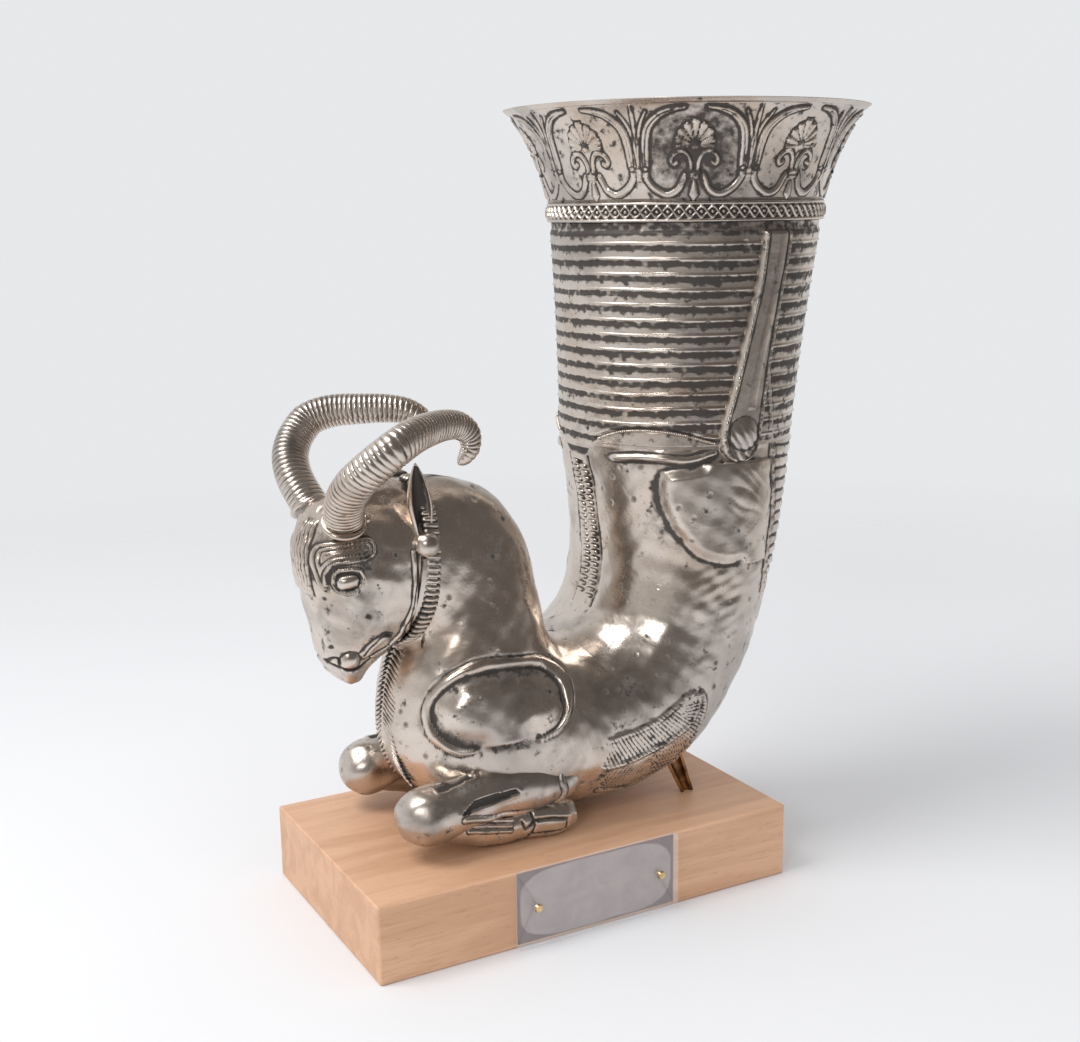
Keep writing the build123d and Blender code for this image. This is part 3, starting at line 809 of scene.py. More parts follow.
def makeCollar():
    columns, pitch = collar["columns"] + 1, 2 * math.pi / collar["repeats"]
    v, u = np.meshgrid(np.linspace(0, 1, collar["rows"]), np.linspace(0, 1, columns), indexing="ij")
    z = collar["low"] + v * (collar["high"] - collar["low"])
    height = z - (collar["low"] + collar["high"]) / 2
    bead = rounded(np.abs(height) - collar["beadHeight"], collar["beadWidth"])
    swing = collar["swing"] * np.cos(math.pi * u)
    down, up = (rounded(height - way * swing, collar["strandWidth"]) for way in (1, -1))
    lift = collar["lift"] * np.sin(math.pi * u)
    strands = np.maximum(down * (0.95 + lift), up * (0.95 - lift))
    gap = np.minimum(u, 1 - u)
    eye = rounded(np.hypot(gap * collar["tileWidth"], height), collar["eyeWidth"])
    relief = np.maximum(np.maximum(bead, strands * (np.abs(height) < 2.75) * 1.25), eye)
    shade = np.clip(1.15 - 1.25 * relief, 0, 1)
    a = (u - 0.5) * pitch
    out = collar["radius"] + relief - 0.3
    outside = np.stack([out * np.cos(a), out * np.sin(a), z], -1)
    bore = []
    for level in (collar["high"], collar["low"]):
        x, y = collar["bore"] * np.cos(a[0]), collar["bore"] * np.sin(a[0])
        bore.append(np.stack([x, y, np.full(columns, level)], -1))
    tile = ringTile("plaitTile", outside, bore, shade, 0.3)
    return tileRing("collar", tile, collar, np.arange(collar["repeats"]) * pitch)


# Flared mouth: nine repeats of a palmette between lotus flowers, joined by tendrils.
# Lines are drawn on one repeat: degrees from the palmette, and height over the collar
mouth = {
    "middleX": 76.8, "low": 269.4, "high": 305.0, "first": -121.0, "sheet": 1.3, "weld": 0.02,
    "degree": 1.08,  # millimetres to a degree
    "profile": [(54.92, 0), (57.8, 9.97), (62.48, 21.89), (67.88, 30.97), (72.2, 35.6)],
    "rows": 96, "columns": 100, "repeats": 9, "boreStep": 8,
    "heart": 19.7, "heartWidth": 2.0, "petalTurn": 25.0, "tip": 0.82,
    "stem": ([2, 10, 13, 24, 30, 33.2], [2.2, 1.7, 1.5, 0.6, 0.5, 0.05]),
    "drop": ([0.6, 2.2, 7.2], [0.6, 1.9, 0.5]),
}
tendril = [(3.2, 9), (3.9, 7.8), (6, 4), (10, 2.4), (14.5, 4.5), (17.2, 7.8), (17.6, 11)]
volute = [(1.2, 11.5), (1.6, 14.5), (3.2, 17), (5.5, 17.4), (7.5, 16), (8.2, 14.2), (7.3, 13), (6.2, 13.6)]
lotusPetal = [(17.5, 12.6), (17, 19.4), (15.5, 25.5), (11.5, 29.8), (7, 31.6), (3.5, 32.2)]
sepal = [(19.4, 13), (19, 22), (17.6, 27), (15.5, 31)]


def friezeLine(x, h, line):
    return lineField(x, h, smoothLine([(p[0] * mouth["degree"], p[1]) for p in line], 8))


def lotusAway(x):  # distance from the middle line of the lotus
    return np.abs(180 / mouth["repeats"] * mouth["degree"] - x)


def lotusRelief(x, h, relief, groove):  # tendrils, volutes, lotus petals, sepals and stem
    for line, width, height in ((tendril, 1.15, 0.75), (volute, 0.75, 0.7)):
        away = friezeLine(x, h, line)[0]
        relief = np.maximum(relief, height * rounded(away, width))
        groove = np.maximum(groove, soft(away - width - 0.35, 0.4))
    away, along = friezeLine(x, h, lotusPetal)
    width = 1.55 * (1 - 0.75 * along ** 2)
    vein = width > 0.7
    petal = 0.85 * np.sqrt(np.clip(1 - (away / width) ** 4, 0, None))
    relief = np.maximum(relief, petal - 0.35 * soft(away, 0.28) * vein)
    groove = np.maximum(groove, soft(away - width - 0.35, 0.45))
    groove = np.maximum(groove, 0.8 * soft(away, 0.3) * vein)
    away, along = friezeLine(x, h, sepal)
    width = 0.95 * (1 - 0.7 * along)
    relief = np.maximum(relief, 0.65 * rounded(away, width))
    groove = np.maximum(groove, 0.9 * soft(away - width - 0.25, 0.35))
    middle = lotusAway(x)
    stem = np.interp(h, *mouth["stem"])
    relief = np.maximum(relief, 0.8 * rounded(middle, stem) * (h > 7) * (h < 33.2))
    return relief, np.maximum(groove, soft(middle - stem - 0.3, 0.35) * (h > 10) * (h < 33))


def palmetteRelief(x, h, relief, groove):  # petals fanned about a round heart
    reach = np.hypot(x, h - mouth["heart"])
    turn = np.degrees(np.arctan2(x, h - mouth["heart"]))
    number = np.clip(np.round(turn / mouth["petalTurn"]), 0, 4)
    off = np.radians(turn - mouth["petalTurn"] * number) * reach
    long = np.where(number == 0, 8.8, 8.3 - 0.25 * number)
    share = np.clip((reach - 2.0) / (long - 2.0), 0, 1)
    tip = np.sqrt(np.clip(1 - ((share - mouth["tip"]) / (1 - mouth["tip"])) ** 2, 0, None))
    wide = (0.25 + 1.35 * share ** 0.8) * np.where(share > mouth["tip"], tip, 1)
    blade = (reach > 2.0) & (reach < long) & (h > 15.2)
    leaf = np.where(blade, 0.9 * rounded(off, np.maximum(wide, 0.01)), 0)
    ground = (reach < long + 0.6) & (h > 15.0) & (turn < 112)
    groove = np.maximum(groove, np.where(ground, 1 - np.clip(leaf * 2.6, 0, 1), 0) * 0.75)
    relief = np.maximum(relief, leaf)
    return np.maximum(relief, 0.95 * rounded(reach, mouth["heartWidth"])), groove


def tieRelief(x, h, relief, groove):  # ties round the stems, and the drop under the palmette
    for level in (8.6, 10.4):
        tie = rounded(h - level, 0.85) * (x < 2.5) + rounded(h - level - 0.6, 0.75) * (lotusAway(x) < 2.1)
        relief = np.maximum(relief, 0.95 * tie)
    groove = np.maximum(groove, 0.9 * ((np.abs(h - 9.5) < 2.6) & (x > 2.5) & (x < 3.3)))
    drop = np.interp(h, *mouth["drop"])
    relief = np.maximum(relief, 0.8 * rounded(x, drop) * (h < 7.3) * (h > 0.5))
    return relief, np.maximum(groove, soft(x - drop - 0.3, 0.35) * (h < 7.3))


def mouthRelief(a, h):
    x = np.abs(a) * mouth["degree"]
    relief, groove = np.zeros(x.shape), np.zeros(x.shape)
    for carve in (lotusRelief, palmetteRelief, tieRelief):
        relief, groove = carve(x, h, relief, groove)
    band = ease((h - 33.4) / 0.6)  # plain lip
    return relief * (1 - band) + 0.35 * band, groove * (1 - band)


def makeMouth():
    profile = evenRows(mouth["profile"], mouth["rows"])
    half = 180 / mouth["repeats"]
    a = np.linspace(-half, half, mouth["columns"] + 1)
    h, turn = np.meshgrid(profile[:, 1], a, indexing="ij")
    radius = np.broadcast_to(profile[:, :1], h.shape)
    relief, groove = mouthRelief(turn, h)
    ground = np.clip(1 - relief * 3, 0, 1)
    slope = np.gradient(profile, axis=0)
    slope = slope / np.linalg.norm(slope, axis=1, keepdims=True)
    out, up = slope[:, 1:2], -slope[:, :1]  # the outward normal in the profile's plane
    fade = np.interp(h, [0, 0.8, 34.6, 35.6], [0.2, 1, 1, 0.0])
    lift = (relief - 0.55) * fade
    r, z = radius + out * lift, mouth["low"] + h + up * lift
    angle = np.radians(turn)
    outside = np.stack([r * np.cos(angle), r * np.sin(angle), np.minimum(z, mouth["high"])], -1)
    shade = np.clip(0.85 * groove + 0.30 * ground * (h < 33), 0, 1)
    inner = []
    for k in range(len(profile) - 1, -1, -mouth["boreStep"]):
        bore, level = profile[k, 0] - mouth["sheet"], mouth["low"] + profile[k, 1]
        x, y = bore * np.cos(angle[0]), bore * np.sin(angle[0])
        inner.append(np.stack([x, y, np.full(len(x), level)], -1))
    tile = ringTile("friezeTile", outside, inner, shade, 0.15)
    return tileRing("mouth", tile, mouth, np.radians(mouth["first"] + np.arange(mouth["repeats"]) * 2 * half))


mouthStain = ((0.0450, -0.0530, 0.2865), 0.026, 0.62)  # where, how far and how dark
cupStain = ((0.0800, -0.0560, 0.2200), 0.055, 0.30)
silver = {
    "mouth": silverMaterial("mouthSilver", tarnish=0.4, pits=0.2, hammer=0.35, speckle=0.5, stain=mouthStain),
    "collar": silverMaterial("collarSilver", tarnish=0.3, pits=0.1, hammer=0.1),
    "cup": silverMaterial("cupSilver", tarnish=0.5, pits=0.2, hammer=0.25, speckle=0.45, stain=cupStain),
    "body": silverMaterial("bodySilver", tarnish=0.5, pits=0.8, hammer=0.42, speckle=0.35),
    "head": silverMaterial("headSilver", tarnish=0.45, pits=0.5, hammer=0.32, speckle=0.3),
    "limb": silverMaterial("limbSilver", tarnish=0.5, pits=0.5, hammer=0.6, speckle=0.4),
    "horn": silverMaterial("hornSilver", tarnish=0.3, pits=0.1, hammer=0.1),
}
seat(makeBeaker(), silver["cup"], "fluted_beaker")
seat(makeCollar(), None, "plait_collar")
seat(makeMouth(), None, "flared_rim")

# Body, neck and head: ovals between an inner line (the back) and an outer line
# (belly, chest and jaw). Each row: inner x, z, outer x, z, half width, roundness
hindRows = [
    (25.2, 176.8, 119.6, 176.8, 47.2, 2.0), (28.8, 159.9, 114.5, 150.0, 47.2, 2.1),
    (31.1, 143.1, 108.7, 124.0, 46.4, 2.1), (31.7, 126.9, 101.2, 99.0, 45.8, 2.15),
    (29.0, 113.5, 90.5, 76.0, 45.0, 2.2), (22.0, 105.0, 76.0, 55.0, 44.6, 2.25),
    (13.0, 101.5, 56.0, 39.5, 44.2, 2.3),
]
foreRows = [
    (8.5, 101.8, 25.9, 33.0, 43.6, 2.3), (6.5, 103.0, -10.1, 34.0, 42.0, 2.2),
    (5.4, 105.5, -36.0, 40.1, 39.0, 2.2), (4.9, 109.0, -54.0, 52.1, 35.8, 2.1),
    (4.3, 113.5, -60.7, 68.0, 33.2, 2.1), (3.8, 119.5, -60.8, 84.0, 31.0, 2.1),
    (2.5, 128.0, -57.8, 97.9, 28.8, 2.1), (-0.4, 140.0, -54.2, 105.8, 26.6, 2.1),
    (-6.8, 152.8, -53.6, 108.4, 25.0, 2.1), (-18.0, 163.8, -54.4, 109.3, 23.6, 2.1),
    (-33.3, 168.8, -55.8, 109.6, 22.6, 2.1), (-48.96, 170.45, -57.06, 109.33, 22.05, 2.1),
]
body = {
    "hindRows": 250, "foreRows": 280, "columns": 300,
    "haunchRise": 2.2, "bossRise": 3.0, "ringRise": 1.3, "barPitch": 4.6, "hairPitch": 1.9,
}


def signedRoot(value, fullness):
    return np.sign(value) * np.abs(value) ** (2 / fullness)


def ovals(rows, columns):
    turn = np.linspace(0, 2 * math.pi, columns, endpoint=False)
    middleX, middleZ = (rows[:, 0] + rows[:, 2]) / 2, (rows[:, 1] + rows[:, 3]) / 2
    halfX, halfZ = (rows[:, 2] - rows[:, 0]) / 2, (rows[:, 3] - rows[:, 1]) / 2
    c = signedRoot(np.cos(turn)[None, :], rows[:, 5:6])
    s = signedRoot(np.sin(turn)[None, :], rows[:, 5:6])
    x, z = middleX[:, None] - halfX[:, None] * c, middleZ[:, None] - halfZ[:, None] * c
    return np.stack([x, rows[:, 4:5] * s, z], -1)


flankLines = {
    "fold": [(31, 172.9), (35.6, 173.7), (42.6, 173.5), (50.7, 172.9), (59.8, 175.3)],
    "haunch": [
        (54.7, 171.3), (43.3, 169.3), (41.6, 167.6), (40.9, 163.5), (41.5, 157.1), (43.2, 151.4),
        (45.7, 145.5), (49.6, 139.5), (53, 135.3), (57.6, 132.6), (64.9, 130.5), (70.8, 130.6),
    ],
    "tongue": [(88.6, 177), (89.3, 157.7), (90.3, 148.6), (89.3, 137.3), (89, 130), (88.5, 113.5)],
    "fringeTop": [(14, 67), (18.2, 68), (28.8, 69.3), (34.1, 71), (40.1, 73.8), (47, 78.3), (51.9, 80.4)],
    "fringeMiddle": [
        (12, 55.8), (16.9, 56), (27.2, 57.7), (38.6, 61), (48.3, 65.3), (53, 68.9), (55.6, 75.2),
        (55.1, 79.4),
    ],
    "fringeLow": [
        (14, 44), (20.2, 43.8), (37.2, 42.5), (47.2, 47.8), (54.9, 55.8), (58.4, 66.3), (59, 74.1),
        (56, 79.9),
    ],
    "bossOuter": [
        (-38.8, 68.1), (-43, 67.5), (-48.3, 69.9), (-52.7, 74.7), (-54.2, 81.6), (-53.2, 88.2), (-49.3, 95.1),
        (-42.8, 100.8), (-33.8, 104.2), (-20.5, 103.5), (-8.6, 101.5), (-0.4, 97.2), (2.8, 92.1), (1.7, 85.7),
        (-1, 79.9), (-5.8, 74.8), (-11.9, 72.7), (-14.9, 72.6),
    ],
    "bossInner": [
        (-36.9, 71.1), (-43.6, 71.8), (-47.8, 74.9), (-50.6, 79.3), (-51.3, 84.2), (-50, 89.1), (-45, 94.8),
        (-39.2, 97.9), (-27.9, 99.6), (-13.7, 98.4), (-6.5, 95.3), (-3.1, 90.7), (-2.9, 85.7), (-3.2, 81.2),
        (-6.9, 76.3), (-12.5, 73.4), (-15, 73.2),
    ],
}

# Drawn lines: half width, height, oxide, how far off it lies and its reach
flankForms = {
    "fold": (1.3, 1.3, 0.85, 1.9, 0.7),
    "tongue": (1.1, 1.0, 0.8, 1.7, 0.6),
    "fringe": (0.9, 0.8, 0.7, 1.4, 0.5),
    "ringInner": (0.6, 0.5, 0.7, 0.0, 0.7),
    "ringOuter": (0.6, 0.4, 0.55, -0.2, 0.6),
}


def between(first, second):  # the outline enclosed by two lines drawn the same way
    return np.vstack([first, second[::-1]])


def sideView(points):  # along, out from the middle, and up, the same for both sides
    return points[..., 0], np.abs(points[..., 1]), points[..., 2]


def haunchRelief(points, relief, dark):  # the fold under the back flutes, then the haunch
    x, y, z = sideView(points)
    flank = ease((y - 12) / 10)
    away = lineField(x, z, smoothLine(flankLines["fold"]))[0]
    relief, dark = drawRidge(relief, dark, away, flank, flankForms["fold"])
    outline = smoothLine(flankLines["haunch"])
    away = lineField(x, z, outline)[0]
    within = inside(x, z, np.vstack([outline, [(88, 130), (88, 171)]]))
    relief += flank * np.where(within, ease(away / 5.0), 0) * body["haunchRise"] * ease((92 - x) / 14)
    return relief, np.maximum(dark, flank * 0.7 * soft(np.where(within, away * 1.6, away), 1.3))


def tongueRelief(points, relief, dark):  # bars down the outer bend, behind a raised line
    x, y, z = sideView(points)
    edge = np.array(flankLines["tongue"])[::-1]
    low = ease((z - 114) / 2)
    back = np.where(x > np.interp(z, edge[:, 1], edge[:, 0]), low, 0)
    phase = np.mod((z - 116 + 0.12 * (x - 88)) / body["barPitch"], 1)
    relief += back * (0.8 * np.sin(math.pi * phase) ** 0.7 - 0.3)
    dark = np.maximum(dark, back * 0.9 * soft(np.minimum(phase, 1 - phase) * body["barPitch"], 0.75))
    away = lineField(x, z, smoothLine(flankLines["tongue"]))[0]
    return drawRidge(relief, dark, away, ease((y - 12) / 10) * low, flankForms["tongue"])


def tuftRelief(points, relief, dark):  # wrinkled tufts under the raised leg, shallow dimples lower down
    x, y, z = sideView(points)
    flank = ease((y - 12) / 10)
    tufts = ease((z - 148) / 6) * ease((171 - z) / 4) * ease((x - 64) / 6) * ease((88 - x) / 4) * flank
    fold = np.abs(np.sin(0.62 * z + 0.5 * x + 1.1 * np.sin(0.37 * x + 0.21 * z)))
    relief += tufts * 0.32 * fold
    lower = flank * ease((x - 48) / 12) * ease((134 - z) / 8) * ease((z - 82) / 8)
    relief += lower * wobble(points * (1, 1, 1.5), 0.12, 7.5, 14)
    return relief, np.maximum(dark, tufts * 0.35 * (1 - fold) ** 2)


def backRelief(points, relief, dark):  # V where the cup's flutes run on, and the groove beside the bricks
    x, y, z = sideView(points)
    opening = np.interp(z, [166, 176.8], [1.0, 11.0])
    vee = ease((opening - y) / 1.5) * (x < 45) * (z > 166)
    flute, fluteShadowAndOxide = fluteRelief(z)
    relief = relief * (1 - vee) + vee * flute * 0.7
    # the flutes bring their oxide and their painted shadow under each ridge
    dark = dark * (1 - vee) + vee * fluteShadowAndOxide
    strip = soft(y - 7.2, 0.55) * (z > 110) * (z < 172) * (x < 50) * (x > -2)
    return relief - 0.5 * strip, np.maximum(dark, 0.8 * strip)


def fringeRelief(points, relief, dark):  # two hatched bands round the belly
    x, y, z = sideView(points)
    zone = (x > 12) & (x < 62) & (z > 36) & (z < 84) & (y > 8)
    edges = [smoothLine(flankLines["fringe" + part]) for part in ("Top", "Middle", "Low")]
    fields = [lineField(x, z, edge) for edge in edges]
    for k, length, lean in ((1, 58.0, 0.27), (2, 78.0, -0.252)):
        band = zone & inside(x, z, between(edges[k - 1], edges[k]))
        away, along = fields[k]
        hair = np.sin(math.pi * np.mod(along * length / body["hairPitch"] + away * lean, 1))
        relief += np.where(band, 0.45 * hair - 0.1, 0)
        dark = np.where(band, np.maximum(dark, 0.95 * (1 - hair) ** 1.5), dark)
    for away, along in fields:
        relief, dark = drawRidge(relief, dark, away, zone, flankForms["fringe"])
    return relief, dark


def bossRelief(points, relief, dark):  # the shoulder boss in its double ring
    x, y, z = sideView(points)
    shoulder = ease((y - 14) / 6)
    ringOut, ringIn = smoothLine(flankLines["bossOuter"]), smoothLine(flankLines["bossInner"])
    outer, inner = lineField(x, z, ringOut)[0], lineField(x, z, ringIn)[0]
    dome = np.where(inside(x, z, ringIn), ease(inner / 9.0) * body["bossRise"], 0)
    swell = body["ringRise"] * np.sin(math.pi * outer / np.maximum(outer + inner, 0.1)) ** 0.6
    relief += shoulder * (dome + np.where(inside(x, z, between(ringOut, ringIn)), swell, 0))
    relief, dark = drawGroove(relief, dark, inner, shoulder, flankForms["ringInner"])
    return drawGroove(relief, dark, outer, shoulder, flankForms["ringOuter"])


def bodyRelief(points):
    relief = wobble(points, 0.34, 30, 11) + wobble(points, 0.12, 9, 12)
    dark = 0.10 + 0.14 * wobble(points, 1, 18, 13)
    for carve in (haunchRelief, tongueRelief, tuftRelief, backRelief, fringeRelief, bossRelief):
        relief, dark = carve(points, relief, dark)
    return relief, np.clip(dark, 0, 1)


def makeBody():
    rows = np.array(hindRows + foreRows, float)
    split = len(hindRows)
    hind, fore = evenRows(rows[:split], body["hindRows"]), evenRows(rows[split - 1:], body["foreRows"])
    both = np.vstack([hind, fore[1:]])
    points = ovals(both, body["columns"])
    normals = gridNormals(points)
    relief, dark = bodyRelief(points)
    relief = faded(relief, 3, 4)
    shaped = points + normals * relief[..., None]
    dark = np.clip(dark + 0.7 * cavity(relief, 5, 1.1), 0, 1)
    cut = body["hindRows"]
    hindPart = tubeObject("hindquarter", shaped[:cut], dark[:cut])
    return hindPart, tubeObject("forequarter", shaped[cut - 1:], dark[cut - 1:]), fore


hindquarter, forequarter, foreCurve = makeBody()
seat(hindquarter, silver["body"], "hindquarter_shell")
seat(forequarter, silver["body"], "forequarter_shell")

# Dorsal bricks and the hatched chest band, set out by Geometry Nodes
dorsal = {"rows": 22, "top": 168.0, "pitch": 2.55, "out": 3.15, "stagger": 0.64, "size": (5.7, 1.9, 1.25)}
chest = {"rows": 30, "top": 108.0, "pitch": 1.9, "out": 5.2, "size": (9.6, 1.25, 0.9)}
brick = barUnit("brickUnit", ends=4, rings=2, patina=0.9)
places, alongs, acrosses = [], [], []
backLine = evenRows(hindRows, 200)
for k in range(dorsal["rows"]):
    z = dorsal["top"] - dorsal["pitch"] * k
    x = np.interp(-z, -backLine[:, 1], backLine[:, 0])
    slope = np.diff(np.interp((-z + 1, -z - 1), -backLine[:, 1], backLine[:, 0]))[0]
    away = np.array([-1.0, 0, -slope / 2]) / math.hypot(1, slope / 2)
    for side in (-1, 1):
        places.append((x + 0.1, dorsal["out"] * side, z + dorsal["stagger"] * side))
        alongs.append(away)
        acrosses.append((0, 1, 0))
seat(placeUnits("dorsalBricks", brick, places, alongs, acrosses, dorsal["size"], silver["body"]), None)

places, alongs, acrosses = [], [], []
chestLine = foreCurve[::-1][np.argsort(-foreCurve[::-1, 3])]
for k in range(chest["rows"]):
    z = chest["top"] - chest["pitch"] * k
    x = np.interp(-z, -chestLine[:, 3], chestLine[:, 2])
    for side in (-1, 1):
        places.append((x + 0.5, chest["out"] * side, z))
        alongs.append((-1, 0.22 * side, 0.12))
        acrosses.append((0, side, -0.5))
seat(placeUnits("chestHatch", brick, places, alongs, acrosses, chest["size"], silver["body"]), None)
discard(brick)

# Head: the same ovals between the brow line and the jaw line
headRows = [
    (-48.96, 170.45, -57.06, 109.33, 22.05, 2.1), (-61.38, 170.3, -58.44, 106.85, 21.8, 2.1),
    (-74.72, 168.26, -59.36, 106.05, 21.8, 2.1), (-86.22, 162.79, -60.05, 105.32, 21.6, 2.1),
    (-92.66, 152.93, -60.97, 104.59, 20.7, 2.1), (-93.58, 143.08, -62.12, 103.49, 18.9, 2.1),
    (-92.43, 133.22, -63.96, 102.03, 16.7, 2.1), (-90.59, 124.1, -66.03, 100.21, 14.7, 2.1),
    (-88.06, 114.24, -68.56, 98.38, 13.2, 2.1), (-85.53, 106.21, -71.32, 95.83, 12.3, 2.2),
    (-82.77, 101.1, -74.54, 94.7, 10.3, 2.2),
]
face = {
    "rows": 300, "columns": 260, "browPitch": 1.5, "knob": (-78.5, 106.5), "lowest": 94.6,
    "eyeOuter": [
        (-85.1, 140.6), (-83.3, 142.2), (-79.2, 142.4), (-76.1, 141.8), (-75.1, 139.6), (-75.9, 136.4),
        (-78.2, 134.6), (-80.9, 134), (-84.1, 135.3), (-85.3, 137.5), (-85.1, 140.6),
    ],
    "eyeInner": [
        (-84.5, 138.7), (-83.2, 140.2), (-79.3, 140.8), (-77.3, 140.2), (-76.8, 138.6), (-77.5, 136.4),
        (-79.7, 135.7), (-82.9, 135.3), (-84.3, 136.5), (-84.5, 138.7),
    ],
    "brow": [
        (-87.8, 134.2), (-89.9, 137), (-91.6, 142.7), (-91.9, 146.4), (-91.1, 149.5), (-88.8, 151.8),
        (-82.7, 152.7), (-74.7, 153.5), (-70.5, 152.6), (-69.5, 149.5), (-70.6, 146.7), (-73.8, 145),
        (-78.9, 144.7), (-84.4, 144), (-86.8, 141.3), (-87.1, 137.4),
    ],
    "lip": [
        (-62.8, 115.6), (-66.7, 116.9), (-71.2, 114.4), (-75.8, 108.8), (-73.6, 106.3), (-68.5, 108.8),
        (-63.6, 111.2), (-62.8, 115.6),
    ],
    "lipInner": [(-63.6, 114.9), (-67, 115.8), (-70.8, 112), (-73.5, 108.4)],
    "jaw": [(-55.5, 146.4), (-55.3, 134.4), (-55.8, 125.4), (-58, 118.1), (-60.9, 112.2), (-69.8, 107.2)],
    "jawBack": [(-52.6, 146.7), (-53.8, 134.1), (-55, 125), (-55.9, 117.8), (-58.7, 111.6)],
    "mouthLine": [(-84.8, 105.1), (-80, 103.5), (-75.3, 103.3), (-70.3, 105.4)],
    "nostril": [(-85, 105.5), (-84.2, 107.6), (-82.4, 107.6), (-82, 105.8)],
    "spots": [
        (-73.8, 124.3, 1.2), (-88, 131, 1.0), (-84.6, 112.1, 0.9), (-62.3, 145.8, 1.3), (-70, 136, 0.6),
        (-80, 120, 0.5),
    ],
}
faceForms = {
    "lid": (0.75, 0.9, 0.5, 1.0, 0.35),
    "jaw": (0.8, 0.9, 0.85, 1.15, 0.4),
    "jawBack": (0.7, 0.9, 0.85, 1.05, 0.4),
    "mouthLine": (0.5, 0.9, 1.0, 0.0, 0.6),
    "nostril": (0.45, 0.8, 1.0, 0.0, 0.6),
}


def eyeRelief(points, relief, dark):  # the eye in its socket, and the ridged brow over it
    x, y, z = sideView(points)
    flank = ease((y - 5.5) / 4)
    outer, inner = lineField(x, z, face["eyeOuter"])[0], lineField(x, z, face["eyeInner"])[0]
    ball = inside(x, z, face["eyeInner"])
    socket = inside(x, z, face["eyeOuter"]) & ~ball
    bulge = np.where(ball, 0.2 + 1.5 * np.sqrt(np.clip(inner / 3.0, 0, 1)), 0)
    relief += flank * (bulge - 0.7 * socket)
    dark = np.maximum(dark, flank * 0.9 * soft(inner, 0.38))
    relief, dark = drawRidge(relief, dark, outer, flank, faceForms["lid"])
    ring, pitch = smoothLine(face["brow"]), face["browPitch"]
    away, brow = lineField(x, z, ring)[0], inside(x, z, ring)
    ridges = 0.75 * np.abs(np.sin(math.pi * away / pitch)) ** 0.8
    furrow = soft(np.mod(away + pitch / 2, pitch) - pitch / 2, 0.32)
    relief += flank * np.where(brow, 0.5 + ridges, 0)
    dark = np.maximum(dark, flank * np.where(brow, 0.95 * furrow, 0))
    return relief, np.maximum(dark, flank * 0.7 * soft(away, 0.5))


def lockRelief(points, relief, dark):  # the wavy lock down the forehead
    x, y, z = sideView(points)
    lock = (y < 8.5) * ease((z - 131) / 2) * ease((160 - z) / 2) * (x < -80)
    wave = np.abs(np.sin(math.pi * (y / 2.3 + 0.10 * np.sin(z * 0.9))))
    relief += lock * (0.85 * wave + 0.3)
    dark = np.maximum(dark, lock * 0.95 * (1 - wave) ** 2)
    return relief, np.maximum(dark, 0.7 * soft(y - 9.0, 0.4) * (z > 131) * (z < 160) * (x < -80))


def muzzleRelief(points, relief, dark):  # lip, jaw, mouth, nostril, the knob beside it and dark spots
    x, y, z = sideView(points)
    flank, front = ease((y - 5.5) / 4), ease((y - 1) / 3)
    lip = inside(x, z, face["lip"])
    outer, inner = lineField(x, z, face["lip"])[0], lineField(x, z, smoothLine(face["lipInner"]))[0]
    relief += flank * (np.where(lip, 0.9 * ease(outer / 1.2), 0) - 0.7 * soft(inner, 0.45))
    dark = np.maximum(dark, flank * 0.95 * np.maximum(soft(inner, 0.5), 0.8 * soft(outer, 0.45)))
    strokes = (("jaw", drawRidge, flank), ("jawBack", drawRidge, flank),
               ("mouthLine", drawGroove, front), ("nostril", drawGroove, front))
    for name, draw, mask in strokes:
        away = lineField(x, z, smoothLine(face[name]))[0]
        relief, dark = draw(relief, dark, away, mask, faceForms[name])
    knob = np.hypot(x - face["knob"][0], z - face["knob"][1])
    relief += flank * 1.5 * np.clip(1 - (knob / 3.6) ** 2, 0, None)
    dark = np.maximum(dark, flank * 0.8 * soft(knob - 3.8, 0.5))
    for spotX, spotZ, reach in face["spots"]:
        dark = np.maximum(dark, 0.9 * soft(np.hypot(x - spotX, z - spotZ), reach))
    return relief, dark


def headRelief(points):
    relief = wobble(points, 0.25, 16, 21) + wobble(points, 0.12, 6, 22)
    relief -= 1.6 * ease((-84 - points[..., 0]) / 7)  # keeps the forehead inside the CAD head
    dark = 0.08 + 0.12 * wobble(points, 1, 12, 23)
    for carve in (eyeRelief, lockRelief, muzzleRelief):
        relief, dark = carve(points, relief, dark)
    return relief, np.clip(dark, 0, 1)


def makeHead():
    points = ovals(evenRows(headRows, face["rows"]), face["columns"])
    normals = gridNormals(points)
    relief, dark = headRelief(points)
    relief = faded(relief, 3, 4)
    points = points + normals * relief[..., None]
    end = []
    last, middle = points[-1], points[-1].mean(0)
    for share in (0.93, 0.78, 0.5, 0.2):  # the muzzle closes round
        ring, bulge = middle + (last - middle) * share, math.sqrt(1 - share ** 2)
        ring[:, 0] -= 0.96 * bulge
        ring[:, 2] = np.maximum(ring[:, 2] - bulge, face["lowest"])
        end.append(ring)
    points = np.concatenate([points, end])
    dark = np.clip(dark + 0.9 * cavity(relief, 4, 0.8), 0, 1)
    dark = np.concatenate([dark, np.full((len(end), dark.shape[1]), 0.2)])
    return tubeObject("head", points, dark)


seat(makeHead(), silver["head"], "head_shell")

